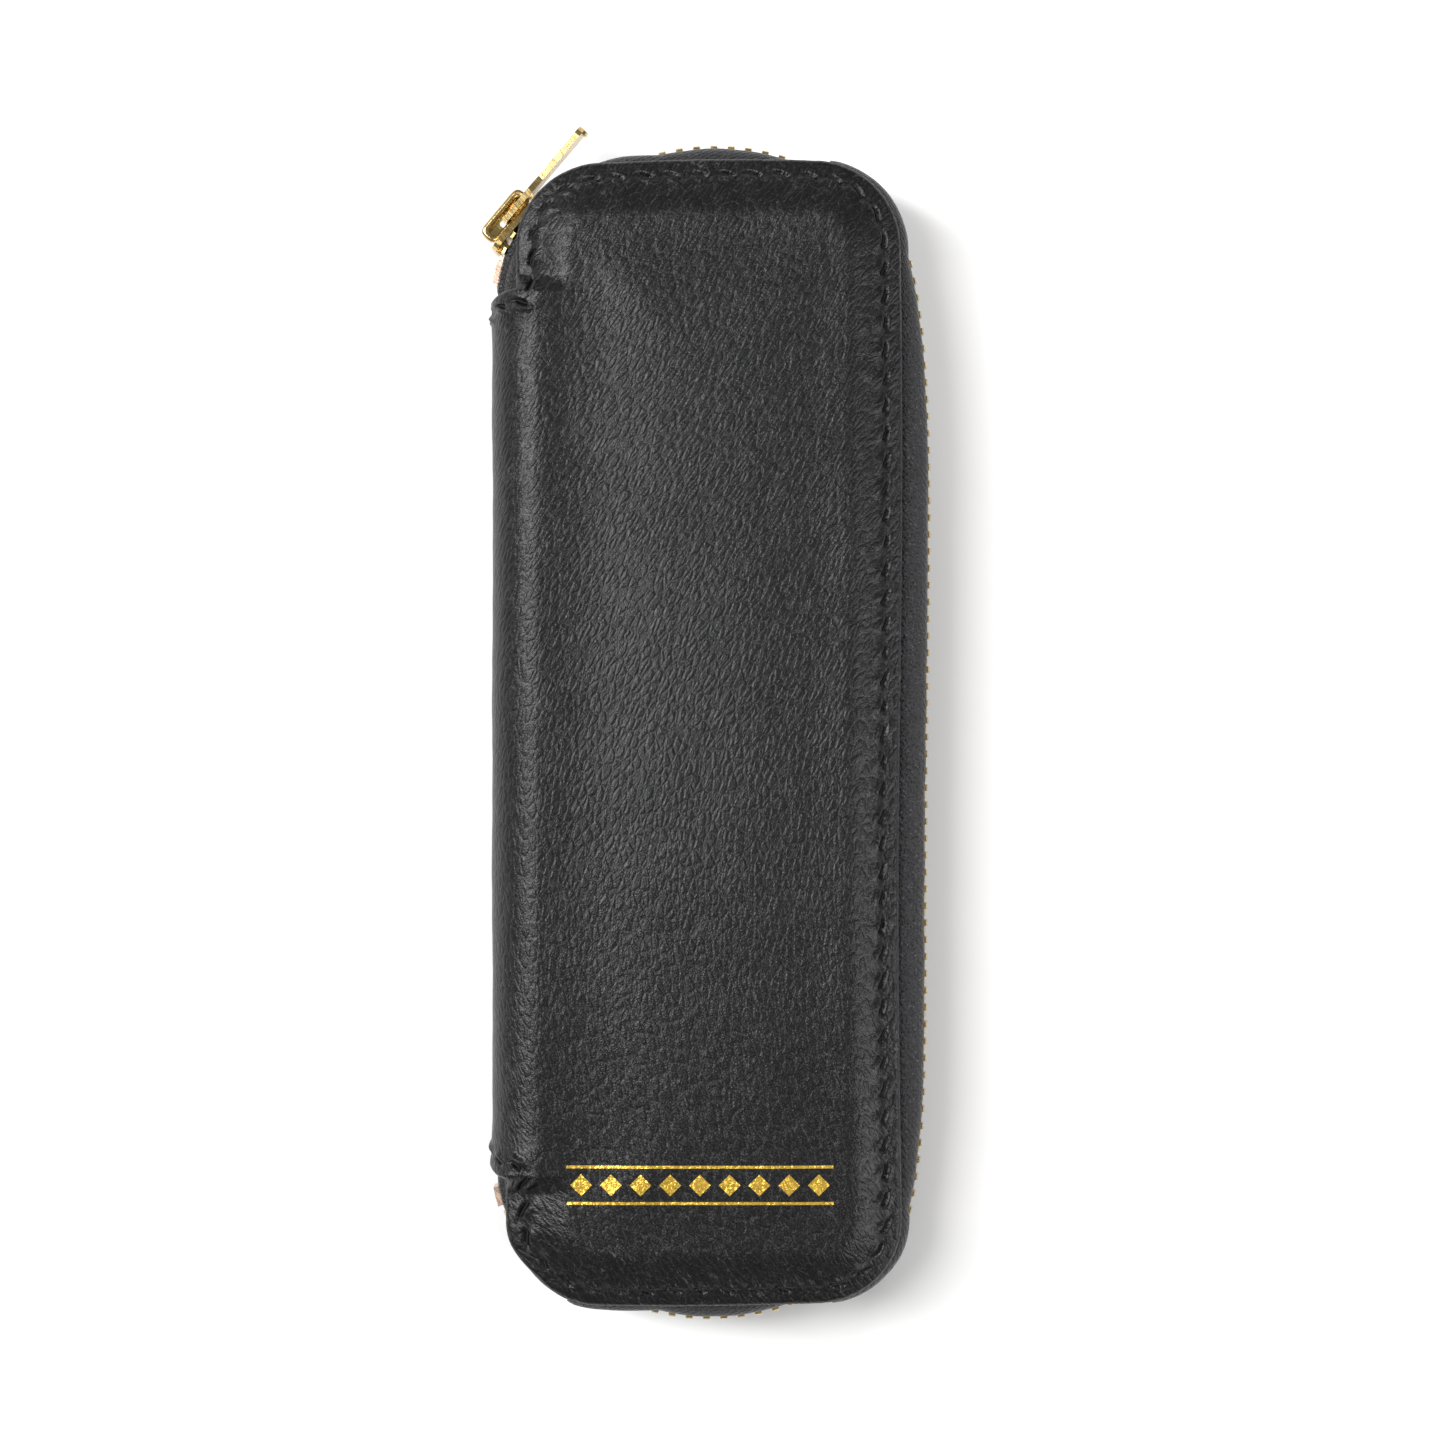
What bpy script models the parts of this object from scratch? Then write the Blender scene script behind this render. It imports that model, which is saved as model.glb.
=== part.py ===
"""Zip-around pen case: two padded leather covers on a leather spine, a metal zip and its slider.

Lengths are in millimetres and become metres when a mesh is made. +X runs from the spine to the
opening edge, +Y runs along the case, and +Z from the back cover to the front cover. The origin is
the middle of the back cover's flat outer face. The back half of the case mirrors the front half.
"""

import math

import bmesh
import bpy
from mathutils import Vector

MM = 0.001
GAP = 0.3  # between pieces that touch

# Case
THICKNESS = 26.0
MID_Z = THICKNESS / 2
SPINE_X = -33.0  # outer face of the spine
ROLL_RADIUS = 8.0  # leather turning from the spine to a cover
SPINE_HALF = 65.3  # half the cover's length along the spine
SPINE_END = 65.9  # half the spine leather's length, at its rolls
SPINE_NIP = 1.3  # how much shorter the spine leather is along its middle

# Cover rim, in plan
LOBE_X = -29.1  # left edge of the corners beyond the spine
EDGE_X = 28.5
EDGE_Y = 85.8
EDGE_BOW = 0.3
LOBE_RADIUS = 12.8
FREE_RADIUS = 12.7
CROWN_RADIUS = 4.0  # corner of the flat crown
EDGE_DROP = 4.0  # from the crown down to the stitched rim
EDGE_ROUND = 0.85  # share of the drop that follows a smooth S
CORNER_START = (1.6, 2.4)  # how far past the spine's end a corner's rim and crown begin

# Layers of a cover, from the outside in
LEATHER = 1.2
PADDING = (24.4, 22.6)
BOARD = (22.3, 21.3)
LINING = (21.0, 20.6)
POCKET = (20.3, 19.8)
PADDING_SPREAD = 0.0
BOARD_SPREAD = 0.42  # 0 at the crown, 1 at the rim
LINING_SPREAD = 0.53
PROFILE_STEPS = 6

# Hinge lines where the leather folds as the case opens: the roll's length is kept when it straightens
FOLD_INSET = (1 - math.pi / 4) * ROLL_RADIUS
FOLD_X = SPINE_X + FOLD_INSET

# Zip chain
PITCH = 2.54
TOOTH = 1.0
CHAIN_HALF = 1.0  # half the chain's depth
TOOTH_TIP = 0.8  # how far a tooth passes the middle
TOOTH_ROOT = 1.8
CORD_TOP = 3.0
TAPE_FOOT = 3.3
TAPE_KNEE = 4.9
TAPE_SEAM = 7.2
TAPE = 0.6
SEAM_INSET = 2.2
CHAIN_TOP_Y = 87.0
CHAIN_EDGE_X = 31.6
CORNER = Vector((-16.2, 65.7))  # centre of the corner that the slider runs round
CORNER_RADIUS = 15.5
CORNER_LAST = 100.0  # degrees, where the corner arc ends
FREE_CORNER = Vector((14.4, 67.5))
FREE_CHAIN_RADIUS = 15.0
FREE_LAST = 10.0  # degrees, where the free corner's arc ends
SECTION_X = -15.2  # the chain's ends ride on the spine up to here
PARTED = 1.5  # rise of the teeth that the slider holds apart
PARTED_ANGLES = (130.0, 104.0)
CHAIN_FIRST = 177.0  # degrees, where the chain begins beside the spine
TOP_STOP = (173.0, 160.8)  # degrees at its two ends
TOP_STOP_HALF = 1.2
TOP_STOP_RISE = (1.2, 3.0)
TEETH_FIRST = 160.0  # degrees, where the teeth begin
TEETH_LAST = 6.0  # length of chain left after the last tooth
BOTTOM_STOP = (4.4, 1.6)  # places of its ends before the chain's end
BOTTOM_STOP_HALF = 1.3
BOTTOM_STOP_RISE = 2.6

# Slider, in its own frame: X along the chain, Y outwards from the corner's centre
SLIDER_ANGLE = 140.0
SLIDER_HALF = 5.25
CHANNEL = (13.28, 16.7)
PLATE = 0.85
PLATE_CORNER = 1.6
PLATE_WAIST = 0.3  # how much narrower a plate is in its middle than at the nose
NOSE_HALF = 4.8
TAIL_HALF = 3.7
WEDGE_X = (-5.0, -3.0)
WEDGE_HALF = 0.5
WEDGE_POINT = 0.6
BAIL_X = 4.5
BAIL_TOP = 20.9
BAIL_WIDTH = 2.6
BAIL_STRIP = 0.8
BAIL_CORNER = 1.1
SWIVEL = Vector((-0.4, 18.85))  # the pull's crossbar
PULL_LENGTH = 18.0
PULL_THICKNESS = 0.9
PULL_HALF = 2.8
PULL_BAR = 0.45  # half the crossbar's width
PULL_CORNER = 1.4
PULL_TAPER = (2.5, 0.5)  # its narrowing past the eye: length and depth
EYE_HALF = 1.7
EYE_END = 5.6
LIP = (0.7, 0.1)  # the folded lip's two faces, measured back from the tip
LIP_INSET = 1.6
LIP_RISE = 0.5

# Inside
LOOP_RADIUS = 6.1
LOOP_LEG = 2.5
LOOP_PITCH = 15.6
LOOP_MIDDLE_X = -1.5
LOOP_COUNT = 3
BAND = 0.8
BAND_WIDTH = 20.0
BAND_FOOT = 2.2  # flat end that is sewn down
BAND_Y = {"upper": 38.0, "lower": -34.0}
THREAD_WIDTH = 0.6
THREAD = 0.4
POCKET_X = (-23.0, 21.0)
POCKET_Y = (-76.0, -6.0)
POCKET_CORNER = 5.0
POCKET_SEAM = 1.2
POCKET_HEM = 1.5  # from the pocket's mouth to the ends of its seam
SPINE_BOARD = 0.7
SPINE_LINING = 0.4
SPINE_INSIDE_END = 1.5  # board and lining end this far short of the leather's middle
SPINE_BOARD_END = 0.5
HEM_INSET = 2.2


# ---------------------------------------------------------------- scene and meshes


def clear_scene():
    for obj in list(bpy.data.objects):
        bpy.data.objects.remove(obj, do_unlink=True)


def material(name, colour, roughness, metallic=0.0):
    mat = bpy.data.materials.new(name)
    mat.use_nodes = True
    shader = mat.node_tree.nodes["Principled BSDF"]
    shader.inputs["Base Color"].default_value = (*colour, 1.0)
    shader.inputs["Roughness"].default_value = roughness
    shader.inputs["Metallic"].default_value = metallic
    return mat


def joint_empty(name, place, parent=None, turn=0.0):
    """An empty on a joint's axis, placed in millimetres in its parent's frame."""
    empty = bpy.data.objects.new(name, None)
    empty.location = Vector(place) * MM
    empty.rotation_euler.z = turn
    empty.parent = parent
    bpy.context.scene.collection.objects.link(empty)
    return empty


def build(name, points, faces, mat, parent, smooth=35.0):
    """A closed mesh object, from points in the case's frame or in that of a joint in OWN_FRAME."""
    shift = Vector()
    above = parent
    while above is not None and parent not in OWN_FRAME:
        shift += above.location
        above = above.parent
    bm = bmesh.new()
    made = [bm.verts.new(Vector(point) * MM - shift) for point in points]
    for face in faces:
        bm.faces.new([made[i] for i in face])
    bmesh.ops.recalc_face_normals(bm, faces=bm.faces)
    if bm.calc_volume(signed=True) < 0:
        bmesh.ops.reverse_faces(bm, faces=bm.faces)
    mesh = bpy.data.meshes.new(name)
    bm.to_mesh(mesh)
    bm.free()
    mesh.materials.append(mat)
    mesh.shade_smooth()
    mesh.set_sharp_from_angle(angle=math.radians(smooth))
    obj = bpy.data.objects.new(name, mesh)
    obj.parent = parent
    bpy.context.scene.collection.objects.link(obj)
    return obj


OWN_FRAME = []  # joints whose pieces are modelled in the joint's own frame


def swept(rings):
    """Points and faces of a solid through rings of equal length, with a flat cap at each end."""
    size = len(rings[0])
    points = [point for ring in rings for point in ring]
    faces = []
    for row in range(len(rings) - 1):
        for i in range(size):
            j = (i + 1) % size
            low, high = row * size, (row + 1) * size
            faces.append((low + i, low + j, high + j, high + i))
    faces.append(tuple(range(size)))
    faces.append(tuple(range(len(points) - size, len(points))))
    return points, faces


def prism(outline, low, high):
    """Points and faces of a plan outline raised from low to high."""
    return swept([[(x, y, low) for x, y in outline], [(x, y, high) for x, y in outline]])


def strip(outer, inner, low, high, across):
    """Points and faces of a bent strip: two matching lines of points, carried from low to high."""
    lines = [[across(p, low) for p in outer], [across(p, high) for p in outer]]
    lines += [[across(p, high) for p in inner], [across(p, low) for p in inner]]
    rings = [[line[i] for line in lines] for i in range(len(outer))]
    return swept(rings)


def arc(centre, radius, first, last, steps):
    """Points round a centre between two angles in degrees, both ends included."""
    angles = [math.radians(first + (last - first) * i / steps) for i in range(steps + 1)]
    return [Vector((centre[0] + radius * math.cos(a), centre[1] + radius * math.sin(a))) for a in angles]


def offset_line(points, distance):
    """The line shifted to the left of its direction, with mitred corners."""
    shifted = []
    for i, point in enumerate(points):
        before = (point - points[max(i - 1, 0)]).normalized()
        after = (points[min(i + 1, len(points) - 1)] - point).normalized()
        way = (before + after).normalized()
        side = Vector((-way.y, way.x))
        reach = max(way.dot(after or before), way.dot(before or after), 0.5)
        shifted.append(point + side * distance / reach)
    return shifted


def flipped(points):
    """The same points on the other half of the case."""
    return [(x, y, THICKNESS - z) for x, y, z in points]


# ---------------------------------------------------------------- cover rim and crown


def upper_stations():
    """Rim stations of the half towards +Y, from the spine to the free edge: rim, crown, edge share.

    The edge share is 0 where the leather rolls onto the spine and 1 at a stitched edge."""
    roll = ROLL_RADIUS * math.sin(math.radians(45))
    roll_x = SPINE_X + ROLL_RADIUS
    rim_x = roll_x - roll + GAP / 2
    stations = [(Vector((rim_x, y)), Vector((roll_x, y)), 0.0) for y in spaced(0, SPINE_HALF, 3)]
    lobe = Vector((LOBE_X + LOBE_RADIUS, EDGE_Y - LOBE_RADIUS))
    free = Vector((EDGE_X - FREE_RADIUS, EDGE_Y - FREE_RADIUS))
    rim = Vector((LOBE_X, SPINE_HALF + CORNER_START[0]))
    crown = Vector((lobe.x - CROWN_RADIUS, SPINE_HALF + CORNER_START[1]))
    stations.append((rim, crown, 1.0))
    stations += corner_stations(lobe, LOBE_RADIUS, 180, 90)
    for x in spaced(lobe.x, free.x, 4)[1:-1]:
        bow = EDGE_BOW * (1 - ((2 * x - lobe.x - free.x) / (free.x - lobe.x)) ** 2)
        stations.append((Vector((x, EDGE_Y + bow)), Vector((x, lobe.y + CROWN_RADIUS)), 1.0))
    stations += corner_stations(free, FREE_RADIUS, 90, 0)
    for y in spaced(free.y, 0, 3)[1:]:
        stations.append((Vector((EDGE_X, y)), Vector((free.x + CROWN_RADIUS, y)), 1.0))
    return stations


def corner_stations(centre, radius, first, last, steps=6):
    rims = arc(centre, radius, first, last, steps)
    crowns = arc(centre, CROWN_RADIUS, first, last, steps)
    return [(rim, crown, 1.0) for rim, crown in zip(rims, crowns)]


def spaced(first, last, steps):
    return [first + (last - first) * i / steps for i in range(steps + 1)]


def mirrored(stations):
    """The stations of the half towards -Y, from the free edge back to the spine."""
    turned = [(Vector((r.x, -r.y)), Vector((c.x, -c.y)), share) for r, c, share in stations]
    return turned[::-1]


def all_stations():
    upper = upper_stations()
    return upper + mirrored(upper)[1:-1]


def seam_stations():
    """The stitched part of the rim, from the corner beside the slider to the other spine corner."""
    upper = [station for station in upper_stations() if station[2] == 1.0]
    return upper + mirrored(upper)[1:]


def drop(fraction, share):
    """How far the outer face has fallen, this fraction of the way from the crown to the rim."""
    roll = ROLL_RADIUS * (1 - math.sqrt(1 - fraction**2 / 2))
    smooth = (1 - math.cos(math.pi * fraction)) / 2
    edge = EDGE_DROP * (EDGE_ROUND * smooth + (1 - EDGE_ROUND) * fraction**2)
    return roll + (edge - roll) * share


def face_point(station, fraction, depth=0.0, side=0.0):
    """A point under the front cover's outer face, and side millimetres further along it."""
    rim, crown, share = station
    width = (rim - crown).length
    way = (rim - crown) / width
    slope = (drop(min(fraction + 0.01, 1), share) - drop(max(fraction - 0.01, 0), share)) / width
    slope /= min(fraction + 0.01, 1) - max(fraction - 0.01, 0)
    if fraction == 0:
        slope = 0.0
    scale = 1 / math.hypot(1, slope)
    out = fraction * width + (side - slope * depth) * scale
    height = THICKNESS - drop(fraction, share) - (depth + side * slope) * scale
    plan = crown + way * out
    return (plan.x, plan.y, height)


# ---------------------------------------------------------------- chain


def hermite(start, start_way, end, end_way, steps=24):
    """A smooth curve between two points with the given directions there."""
    reach = (end - start).length
    line = []
    for i in range(steps + 1):
        t = i / steps
        a, b = 2 * t**3 - 3 * t**2 + 1, t**3 - 2 * t**2 + t
        c, d = -2 * t**3 + 3 * t**2, t**3 - t**2
        line.append(a * start + b * reach * start_way + c * end + d * reach * end_way)
    return line


def upper_course():
    """Plan of the chain from its end beside the spine to the middle of the free edge."""
    top = Vector((0.0, CHAIN_TOP_Y))
    along = Vector((1.0, 0.0))
    first = arc(CORNER, CORNER_RADIUS, CHAIN_FIRST, CORNER_LAST, 40)
    last = arc(FREE_CORNER, FREE_CHAIN_RADIUS, 80, FREE_LAST, 40)
    line = first + hermite(first[-1], (first[-1] - first[-2]).normalized(), top, along)[1:]
    line += hermite(top, along, last[0], (last[1] - last[0]).normalized())[1:] + last[1:]
    bow = CHAIN_EDGE_X - last[-1].x
    return line + [Vector((last[-1].x + bow * (1 - t**6), last[-1].y * t)) for t in spaced(1, 0, 30)[1:]]


class Course:
    """The chain's whole plan, read by distance along it."""

    def __init__(self):
        upper = upper_course()
        self.points = upper + [Vector((p.x, -p.y)) for p in upper[::-1]][1:]
        self.marks = [0.0]
        for a, b in zip(self.points, self.points[1:]):
            self.marks.append(self.marks[-1] + (b - a).length)
        self.length = self.marks[-1]

    def at(self, distance):
        """The point there and the outward direction."""
        i = 0
        while i < len(self.marks) - 2 and self.marks[i + 1] < distance:
            i += 1
        way = (self.points[i + 1] - self.points[i]).normalized()
        return self.points[i] + way * (distance - self.marks[i]), Vector((-way.y, way.x))

    def nearest(self, test):
        """Distance along the upper half where the test first holds."""
        for point, mark in zip(self.points, self.marks):
            if test(point):
                return mark
        return self.length


COURSE = Course()
SECTION_AT = COURSE.nearest(lambda p: p.x > SECTION_X)
SECTIONS = {
    "end_top": (0.0, SECTION_AT),
    "main": (SECTION_AT, COURSE.length - SECTION_AT),
    "end_bottom": (COURSE.length - SECTION_AT, COURSE.length),
}


def corner_distance(angle):
    """Distance along the chain at an angle round the slider's corner."""
    return math.radians(CHAIN_FIRST - angle) * CORNER_RADIUS


def parted(distance):
    """How far the teeth stand off the middle, where the slider's wedge passes between them."""
    first, last = [corner_distance(angle) for angle in PARTED_ANGLES]
    return PARTED * min(max((last - distance) / (last - first), 0), 1)


def chain_point(distance, outward, height):
    point, normal = COURSE.at(distance)
    point = point + normal * outward
    return (point.x, point.y, MID_Z + height + parted(distance))


def comb(first_tooth, count, group):
    """Points and faces of a run of teeth on their cord, the teeth pointing down past the middle."""
    columns = []
    start = first_tooth - PITCH / 2
    columns.append([(start + GAP / 2, CORD_TOP), (start + GAP / 2, TOOTH_ROOT)])
    spans = []
    done = 0
    while done < count:
        size = min(group, count - done)
        span = []
        for k in range(done, done + size):
            centre = first_tooth + k * PITCH
            low, high = centre - TOOTH / 2, centre + TOOTH / 2
            span += [(low, TOOTH_ROOT), (low, -TOOTH_TIP), (high, -TOOTH_TIP), (high, TOOTH_ROOT)]
        done += size
        end = start + done * PITCH - (GAP / 2 if done == count else 0)
        spans.append(span)
        columns.append([(end, CORD_TOP), (end, TOOTH_ROOT)])
    points, index = [], {}
    for flat in [p for column in columns for p in column] + [p for span in spans for p in span]:
        index[flat] = len(points)
        points += [chain_point(flat[0], side, flat[1]) for side in (CHAIN_HALF, -CHAIN_HALF)]
    faces = []
    for a, span, b in zip(columns, spans, columns[1:]):
        lower = [a[1]] + span + [b[1]]
        loop = [a[0]] + lower + [b[0]]
        faces.append([index[p] for p in loop])
        faces.append([index[p] + 1 for p in loop[::-1]])
        for p, q in list(zip(lower, lower[1:])) + [(b[0], a[0])]:
            faces.append([index[p], index[p] + 1, index[q] + 1, index[q]])
    for column, turn in ((columns[0], 1), (columns[-1], -1)):
        top, root = index[column[0]], index[column[1]]
        faces.append([top, top + 1, root + 1, root][::turn])
    return points, faces


def tape_marks(first, last):
    """Places along the tape, closer together where it turns."""
    marks = [first]
    heading = COURSE.at(first)[1]
    distance = first
    while distance < last:
        distance = min(distance + 1.0, last)
        normal = COURSE.at(distance)[1]
        if normal.dot(heading) < math.cos(math.radians(13)) or distance - marks[-1] > 24:
            marks.append(distance)
            heading = normal
    if last - marks[-1] < 1.5:
        marks.pop()
    turns = [corner_distance(angle) for angle in PARTED_ANGLES]
    marks = [mark for mark in marks if min(abs(mark - turn) for turn in turns) > 0.5]
    return sorted(marks + [turn for turn in turns if first < turn < last]) + [last]


class Seam:
    """Where the tape is sewn under the leather, matched to places along the chain."""

    def __init__(self):
        stations = [s for s in upper_stations() if s[2] == 1.0]
        self.points = [r + (c - r).normalized() * SEAM_INSET for r, c, share in stations]
        lobe = next(i for i, p in enumerate(self.points) if p.x + p.y > LOBE_X + EDGE_Y - 7)
        top = next(i for i, p in enumerate(self.points) if p.x > -1)
        free = next(i for i, p in enumerate(self.points) if p.y < p.x + EDGE_Y - EDGE_X)
        self.landmarks = [0, lobe, top, free, len(self.points) - 1]
        tests = (
            lambda p: True,
            lambda p: (p - CORNER).y > -(p - CORNER).x,
            lambda p: p.x >= 0,
            lambda p: p.x > 0 and (p - FREE_CORNER).x > (p - FREE_CORNER).y,
        )
        self.marks = [COURSE.nearest(test) for test in tests] + [COURSE.length / 2]

    def at(self, distance):
        """The seam point for a place along the chain, which the lower half mirrors."""
        if distance > COURSE.length / 2:
            point = self.at(COURSE.length - distance)
            return Vector((point.x, -point.y))
        leg = max(i for i in range(4) if self.marks[i] <= distance or i == 0)
        share = (distance - self.marks[leg]) / (self.marks[leg + 1] - self.marks[leg])
        run = self.points[self.landmarks[leg] : self.landmarks[leg + 1] + 1]
        return along_line(run, min(share, 1.0))


def along_line(points, share):
    """The point at this share of a line's length."""
    lengths = [(b - a).length for a, b in zip(points, points[1:])]
    left = share * sum(lengths)
    for a, b, length in zip(points, points[1:], lengths):
        if left <= length:
            return a + (b - a) * (left / length)
        left -= length
    return points[-1]


SEAM = Seam()


def tape_ring(distance):
    """The tape's cross-section: up from the chain, over its knee and in under the leather."""
    foot, normal = COURSE.at(distance)
    seam = SEAM.at(distance)
    rise = parted(distance)
    inward = (seam - foot).dot(normal)
    line = [Vector((0, TAPE_FOOT + rise)), Vector((0, TAPE_KNEE + rise / 3)), Vector((inward, TAPE_SEAM))]
    slide = seam - foot - normal * inward
    shares = (0, 0, 1)
    ring = []
    for side in (offset_line(line, TAPE / 2), offset_line(line, -TAPE / 2)[::-1]):
        for flat, share in zip(side, shares if side[0].y < side[-1].y else shares[::-1]):
            plan = foot + normal * flat.x + slide * share
            ring.append((plan.x, plan.y, MID_Z + flat.y))
    return ring


# ---------------------------------------------------------------- covers


def leather_shell():
    """Points and faces of a cover's leather: a flat crown that falls away to the rim."""
    stations = all_stations()
    fractions = spaced(0, 1, PROFILE_STEPS)
    rings = [[face_point(s, f) for s in stations] for f in fractions]
    rings += [[face_point(s, f, LEATHER) for s in stations] for f in reversed(fractions)]
    return swept(rings)


def inner_outline(spread):
    """A plate's outline inside the cover: 0 at the crown's edge, 1 at the rim."""
    stations = all_stations()[::2]
    return [crown + (rim - crown) * spread for rim, crown, share in stations]


def plate(spread, heights):
    return prism(inner_outline(spread), heights[1], heights[0])


def seam_thread():
    """The line of thread that joins the leather, the tape and the lining round the rim."""
    rings = []
    for station in seam_stations():
        width = (station[0] - station[1]).length
        fraction = 1 - SEAM_INSET / width
        half = THREAD_WIDTH / 2
        low, high = -GAP / 2, -GAP / 2 - THREAD
        corners = ((low, -half), (low, half), (high, half), (high, -half))
        rings.append([face_point(station, fraction, depth, side) for depth, side in corners])
    return swept(rings)


def both_covers(name, shape, mat, smooth=35.0):
    """The piece on the front cover and its mirror image on the back cover."""
    points, faces = shape
    build(f"{name}_front", points, faces, mat, FRONT, smooth)
    build(f"{name}_back", flipped(points), faces, mat, None, smooth)


def pen_band(y, name, mat):
    """One strip of elastic that is sewn down beside each pen and arches over it."""
    floor = THICKNESS - LINING[1] + GAP
    outer = LOOP_RADIUS + BAND
    line = [Vector((LOOP_MIDDLE_X - LOOP_PITCH * (LOOP_COUNT - 1) / 2 - outer - BAND_FOOT, floor))]
    for k in range(LOOP_COUNT):
        middle = LOOP_MIDDLE_X + LOOP_PITCH * (k - (LOOP_COUNT - 1) / 2)
        top = floor + LOOP_LEG
        line.append(Vector((middle - LOOP_RADIUS - BAND, floor)))
        line += arc((middle, top), LOOP_RADIUS + BAND, 180, 0, 8)
        line.append(Vector((middle + LOOP_RADIUS + BAND, floor)))
    line.append(Vector((line[-1].x + BAND_FOOT, floor)))
    top_line = band_top(line, floor)
    half = BAND_WIDTH / 2
    points, faces = strip(top_line, line_below(line, floor), y - half, y + half, lambda p, at: (p.x, at, p.y))
    build(name, points, faces, mat, None)


def band_top(line, floor):
    """The band's upper face: one thickness up where it lies flat, and the line itself on the arches."""
    lifted = []
    for point in line:
        lifted.append(Vector((point.x, point.y + BAND)) if point.y == floor else point.copy())
    return lifted


def line_below(line, floor):
    """The band's lower face, one thickness inside each arch."""
    middles = [LOOP_MIDDLE_X + LOOP_PITCH * (k - (LOOP_COUNT - 1) / 2) for k in range(LOOP_COUNT)]
    low = []
    for i, point in enumerate(line):
        middle = min(middles, key=lambda m: abs(m - point.x))
        if i in (0, len(line) - 1):
            low.append(point.copy())
        elif point.y == floor:
            side = 1 if point.x < middle else -1
            low.append(Vector((point.x + side * BAND, floor)))
        else:
            centre = Vector((middle, floor + LOOP_LEG))
            low.append(centre + (point - centre) * LOOP_RADIUS / (LOOP_RADIUS + BAND))
    return low


def slip_pocket(mat, thread):
    """A flat pocket over the lower half of the front cover's lining, and the thread along three sides."""
    left, right = POCKET_X
    low, high = POCKET_Y
    corner = POCKET_CORNER
    base = arc((right - corner, low + corner), corner, 0, -90, 4)
    base += arc((left + corner, low + corner), corner, -90, -180, 4)
    outline = [Vector((left, high)), Vector((right, high))] + base
    points, faces = prism(outline, POCKET[1], POCKET[0])
    build("slip_pocket", points, faces, mat, FRONT)
    line = [Vector((right, high - POCKET_HEM))] + base + [Vector((left, high - POCKET_HEM))]
    inner = offset_line(line, -POCKET_SEAM)
    outer = offset_line(line, -POCKET_SEAM - THREAD_WIDTH)
    low_z, high_z = POCKET[1] - GAP / 2 - THREAD, POCKET[1] - GAP / 2
    points, faces = strip(outer, inner, low_z, high_z, lambda p, at: (p.x, p.y, at))
    build("pocket_stitching", points, faces, thread, FRONT)


# ---------------------------------------------------------------- spine


def spine_section(depth):
    """The spine leather's cross-section at a depth under its outer face, from front roll to back roll."""
    roll_x = SPINE_X + ROLL_RADIUS
    trim = math.degrees(GAP / 2 / ROLL_RADIUS)
    front = arc((roll_x, THICKNESS - ROLL_RADIUS), ROLL_RADIUS - depth, 135 + trim, 180, 4)
    back = arc((roll_x, ROLL_RADIUS), ROLL_RADIUS - depth, 180, 225 - trim, 4)
    return front + back


def spine_reach(x, inset=0.0):
    """Half the spine leather's length at this distance from its outer face."""
    roll = ROLL_RADIUS * (1 - math.sqrt(0.5))
    return SPINE_END - inset - SPINE_NIP * (1 - min((x - SPINE_X) / roll, 1))


def spine_leather(mat):
    outer, inner = spine_section(0), spine_section(LEATHER)
    rings = []
    for o, i in zip(outer, inner):
        reach = spine_reach(o.x)
        rings.append([(o.x, -reach, o.y), (o.x, reach, o.y), (i.x, reach, i.y), (i.x, -reach, i.y)])
    build("leather_spine", *swept(rings), mat, SPINE)


def spine_inside(board, lining):
    board_x = SPINE_X + LEATHER + GAP
    lining_x = board_x + SPINE_BOARD + GAP
    upright_strip("spine_board", board_x, SPINE_BOARD, ROLL_RADIUS + SPINE_BOARD_END, board)
    upright_strip("lining_spine", lining_x, SPINE_LINING, ROLL_RADIUS - SPINE_INSIDE_END, lining)


def upright_strip(name, low_x, thickness, low_z, mat):
    """A flat strip inside the spine, centred between the covers."""
    reach = SPINE_END - SPINE_NIP - SPINE_INSIDE_END
    high_x = low_x + thickness
    plan = [(low_x, -reach), (high_x, -reach), (high_x, reach), (low_x, reach)]
    build(name, *prism(plan, low_z, THICKNESS - low_z), mat, SPINE)


def spine_thread(name, sign, mat):
    """The hem stitched across one end of the spine leather."""
    low, high = -GAP / 2, -GAP / 2 - THREAD
    half = THREAD_WIDTH / 2
    rings = []
    for near, far in list(zip(spine_section(low), spine_section(high)))[1:-1]:
        place = sign * spine_reach(near.x, HEM_INSET)
        sides = (place - half, place + half)
        rings.append([(near.x, y, near.y) for y in sides] + [(far.x, y, far.y) for y in sides[::-1]])
    build(name, *swept(rings), mat, SPINE)


# ---------------------------------------------------------------- zip


def zip_tapes(mat):
    for name, (first, last) in SECTIONS.items():
        trim = GAP / 2
        start = first + (trim if first else 0)
        end = last - (trim if last < COURSE.length else 0)
        points, faces = swept([tape_ring(mark) for mark in tape_marks(start, end)])
        both_halves(f"zip_tape_{name}", points, faces, mat, name)


def both_halves(name, points, faces, mat, section):
    """A zip piece of the front half and its mirror image on the back half."""
    front, back = (FRONT, None) if section == "main" else (SPINE, SPINE)
    build(f"{name}_front", points, faces, mat, front)
    build(f"{name}_back", flipped(points), faces, mat, back)


def zip_teeth(mat):
    """Teeth of the front half, and those of the back half in the gaps between them."""
    stops = (corner_distance(TEETH_FIRST), COURSE.length - TEETH_LAST)
    for half, phase in (("front", 0.0), ("back", 0.5)):
        centres = []
        distance = stops[0] + PITCH * (0.5 + phase)
        while distance < stops[1]:
            centres.append(distance)
            distance += PITCH
        for section, (first, last) in SECTIONS.items():
            mine = [c for c in centres if first <= c < last]
            points, faces = comb(mine[0], len(mine), 3 if section == "main" else 1)
            if half == "back":
                points = flipped(points)
            parent = SPINE if section != "main" else (FRONT if half == "front" else None)
            build(f"zip_teeth_{section}_{half}", points, faces, mat, parent)


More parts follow.
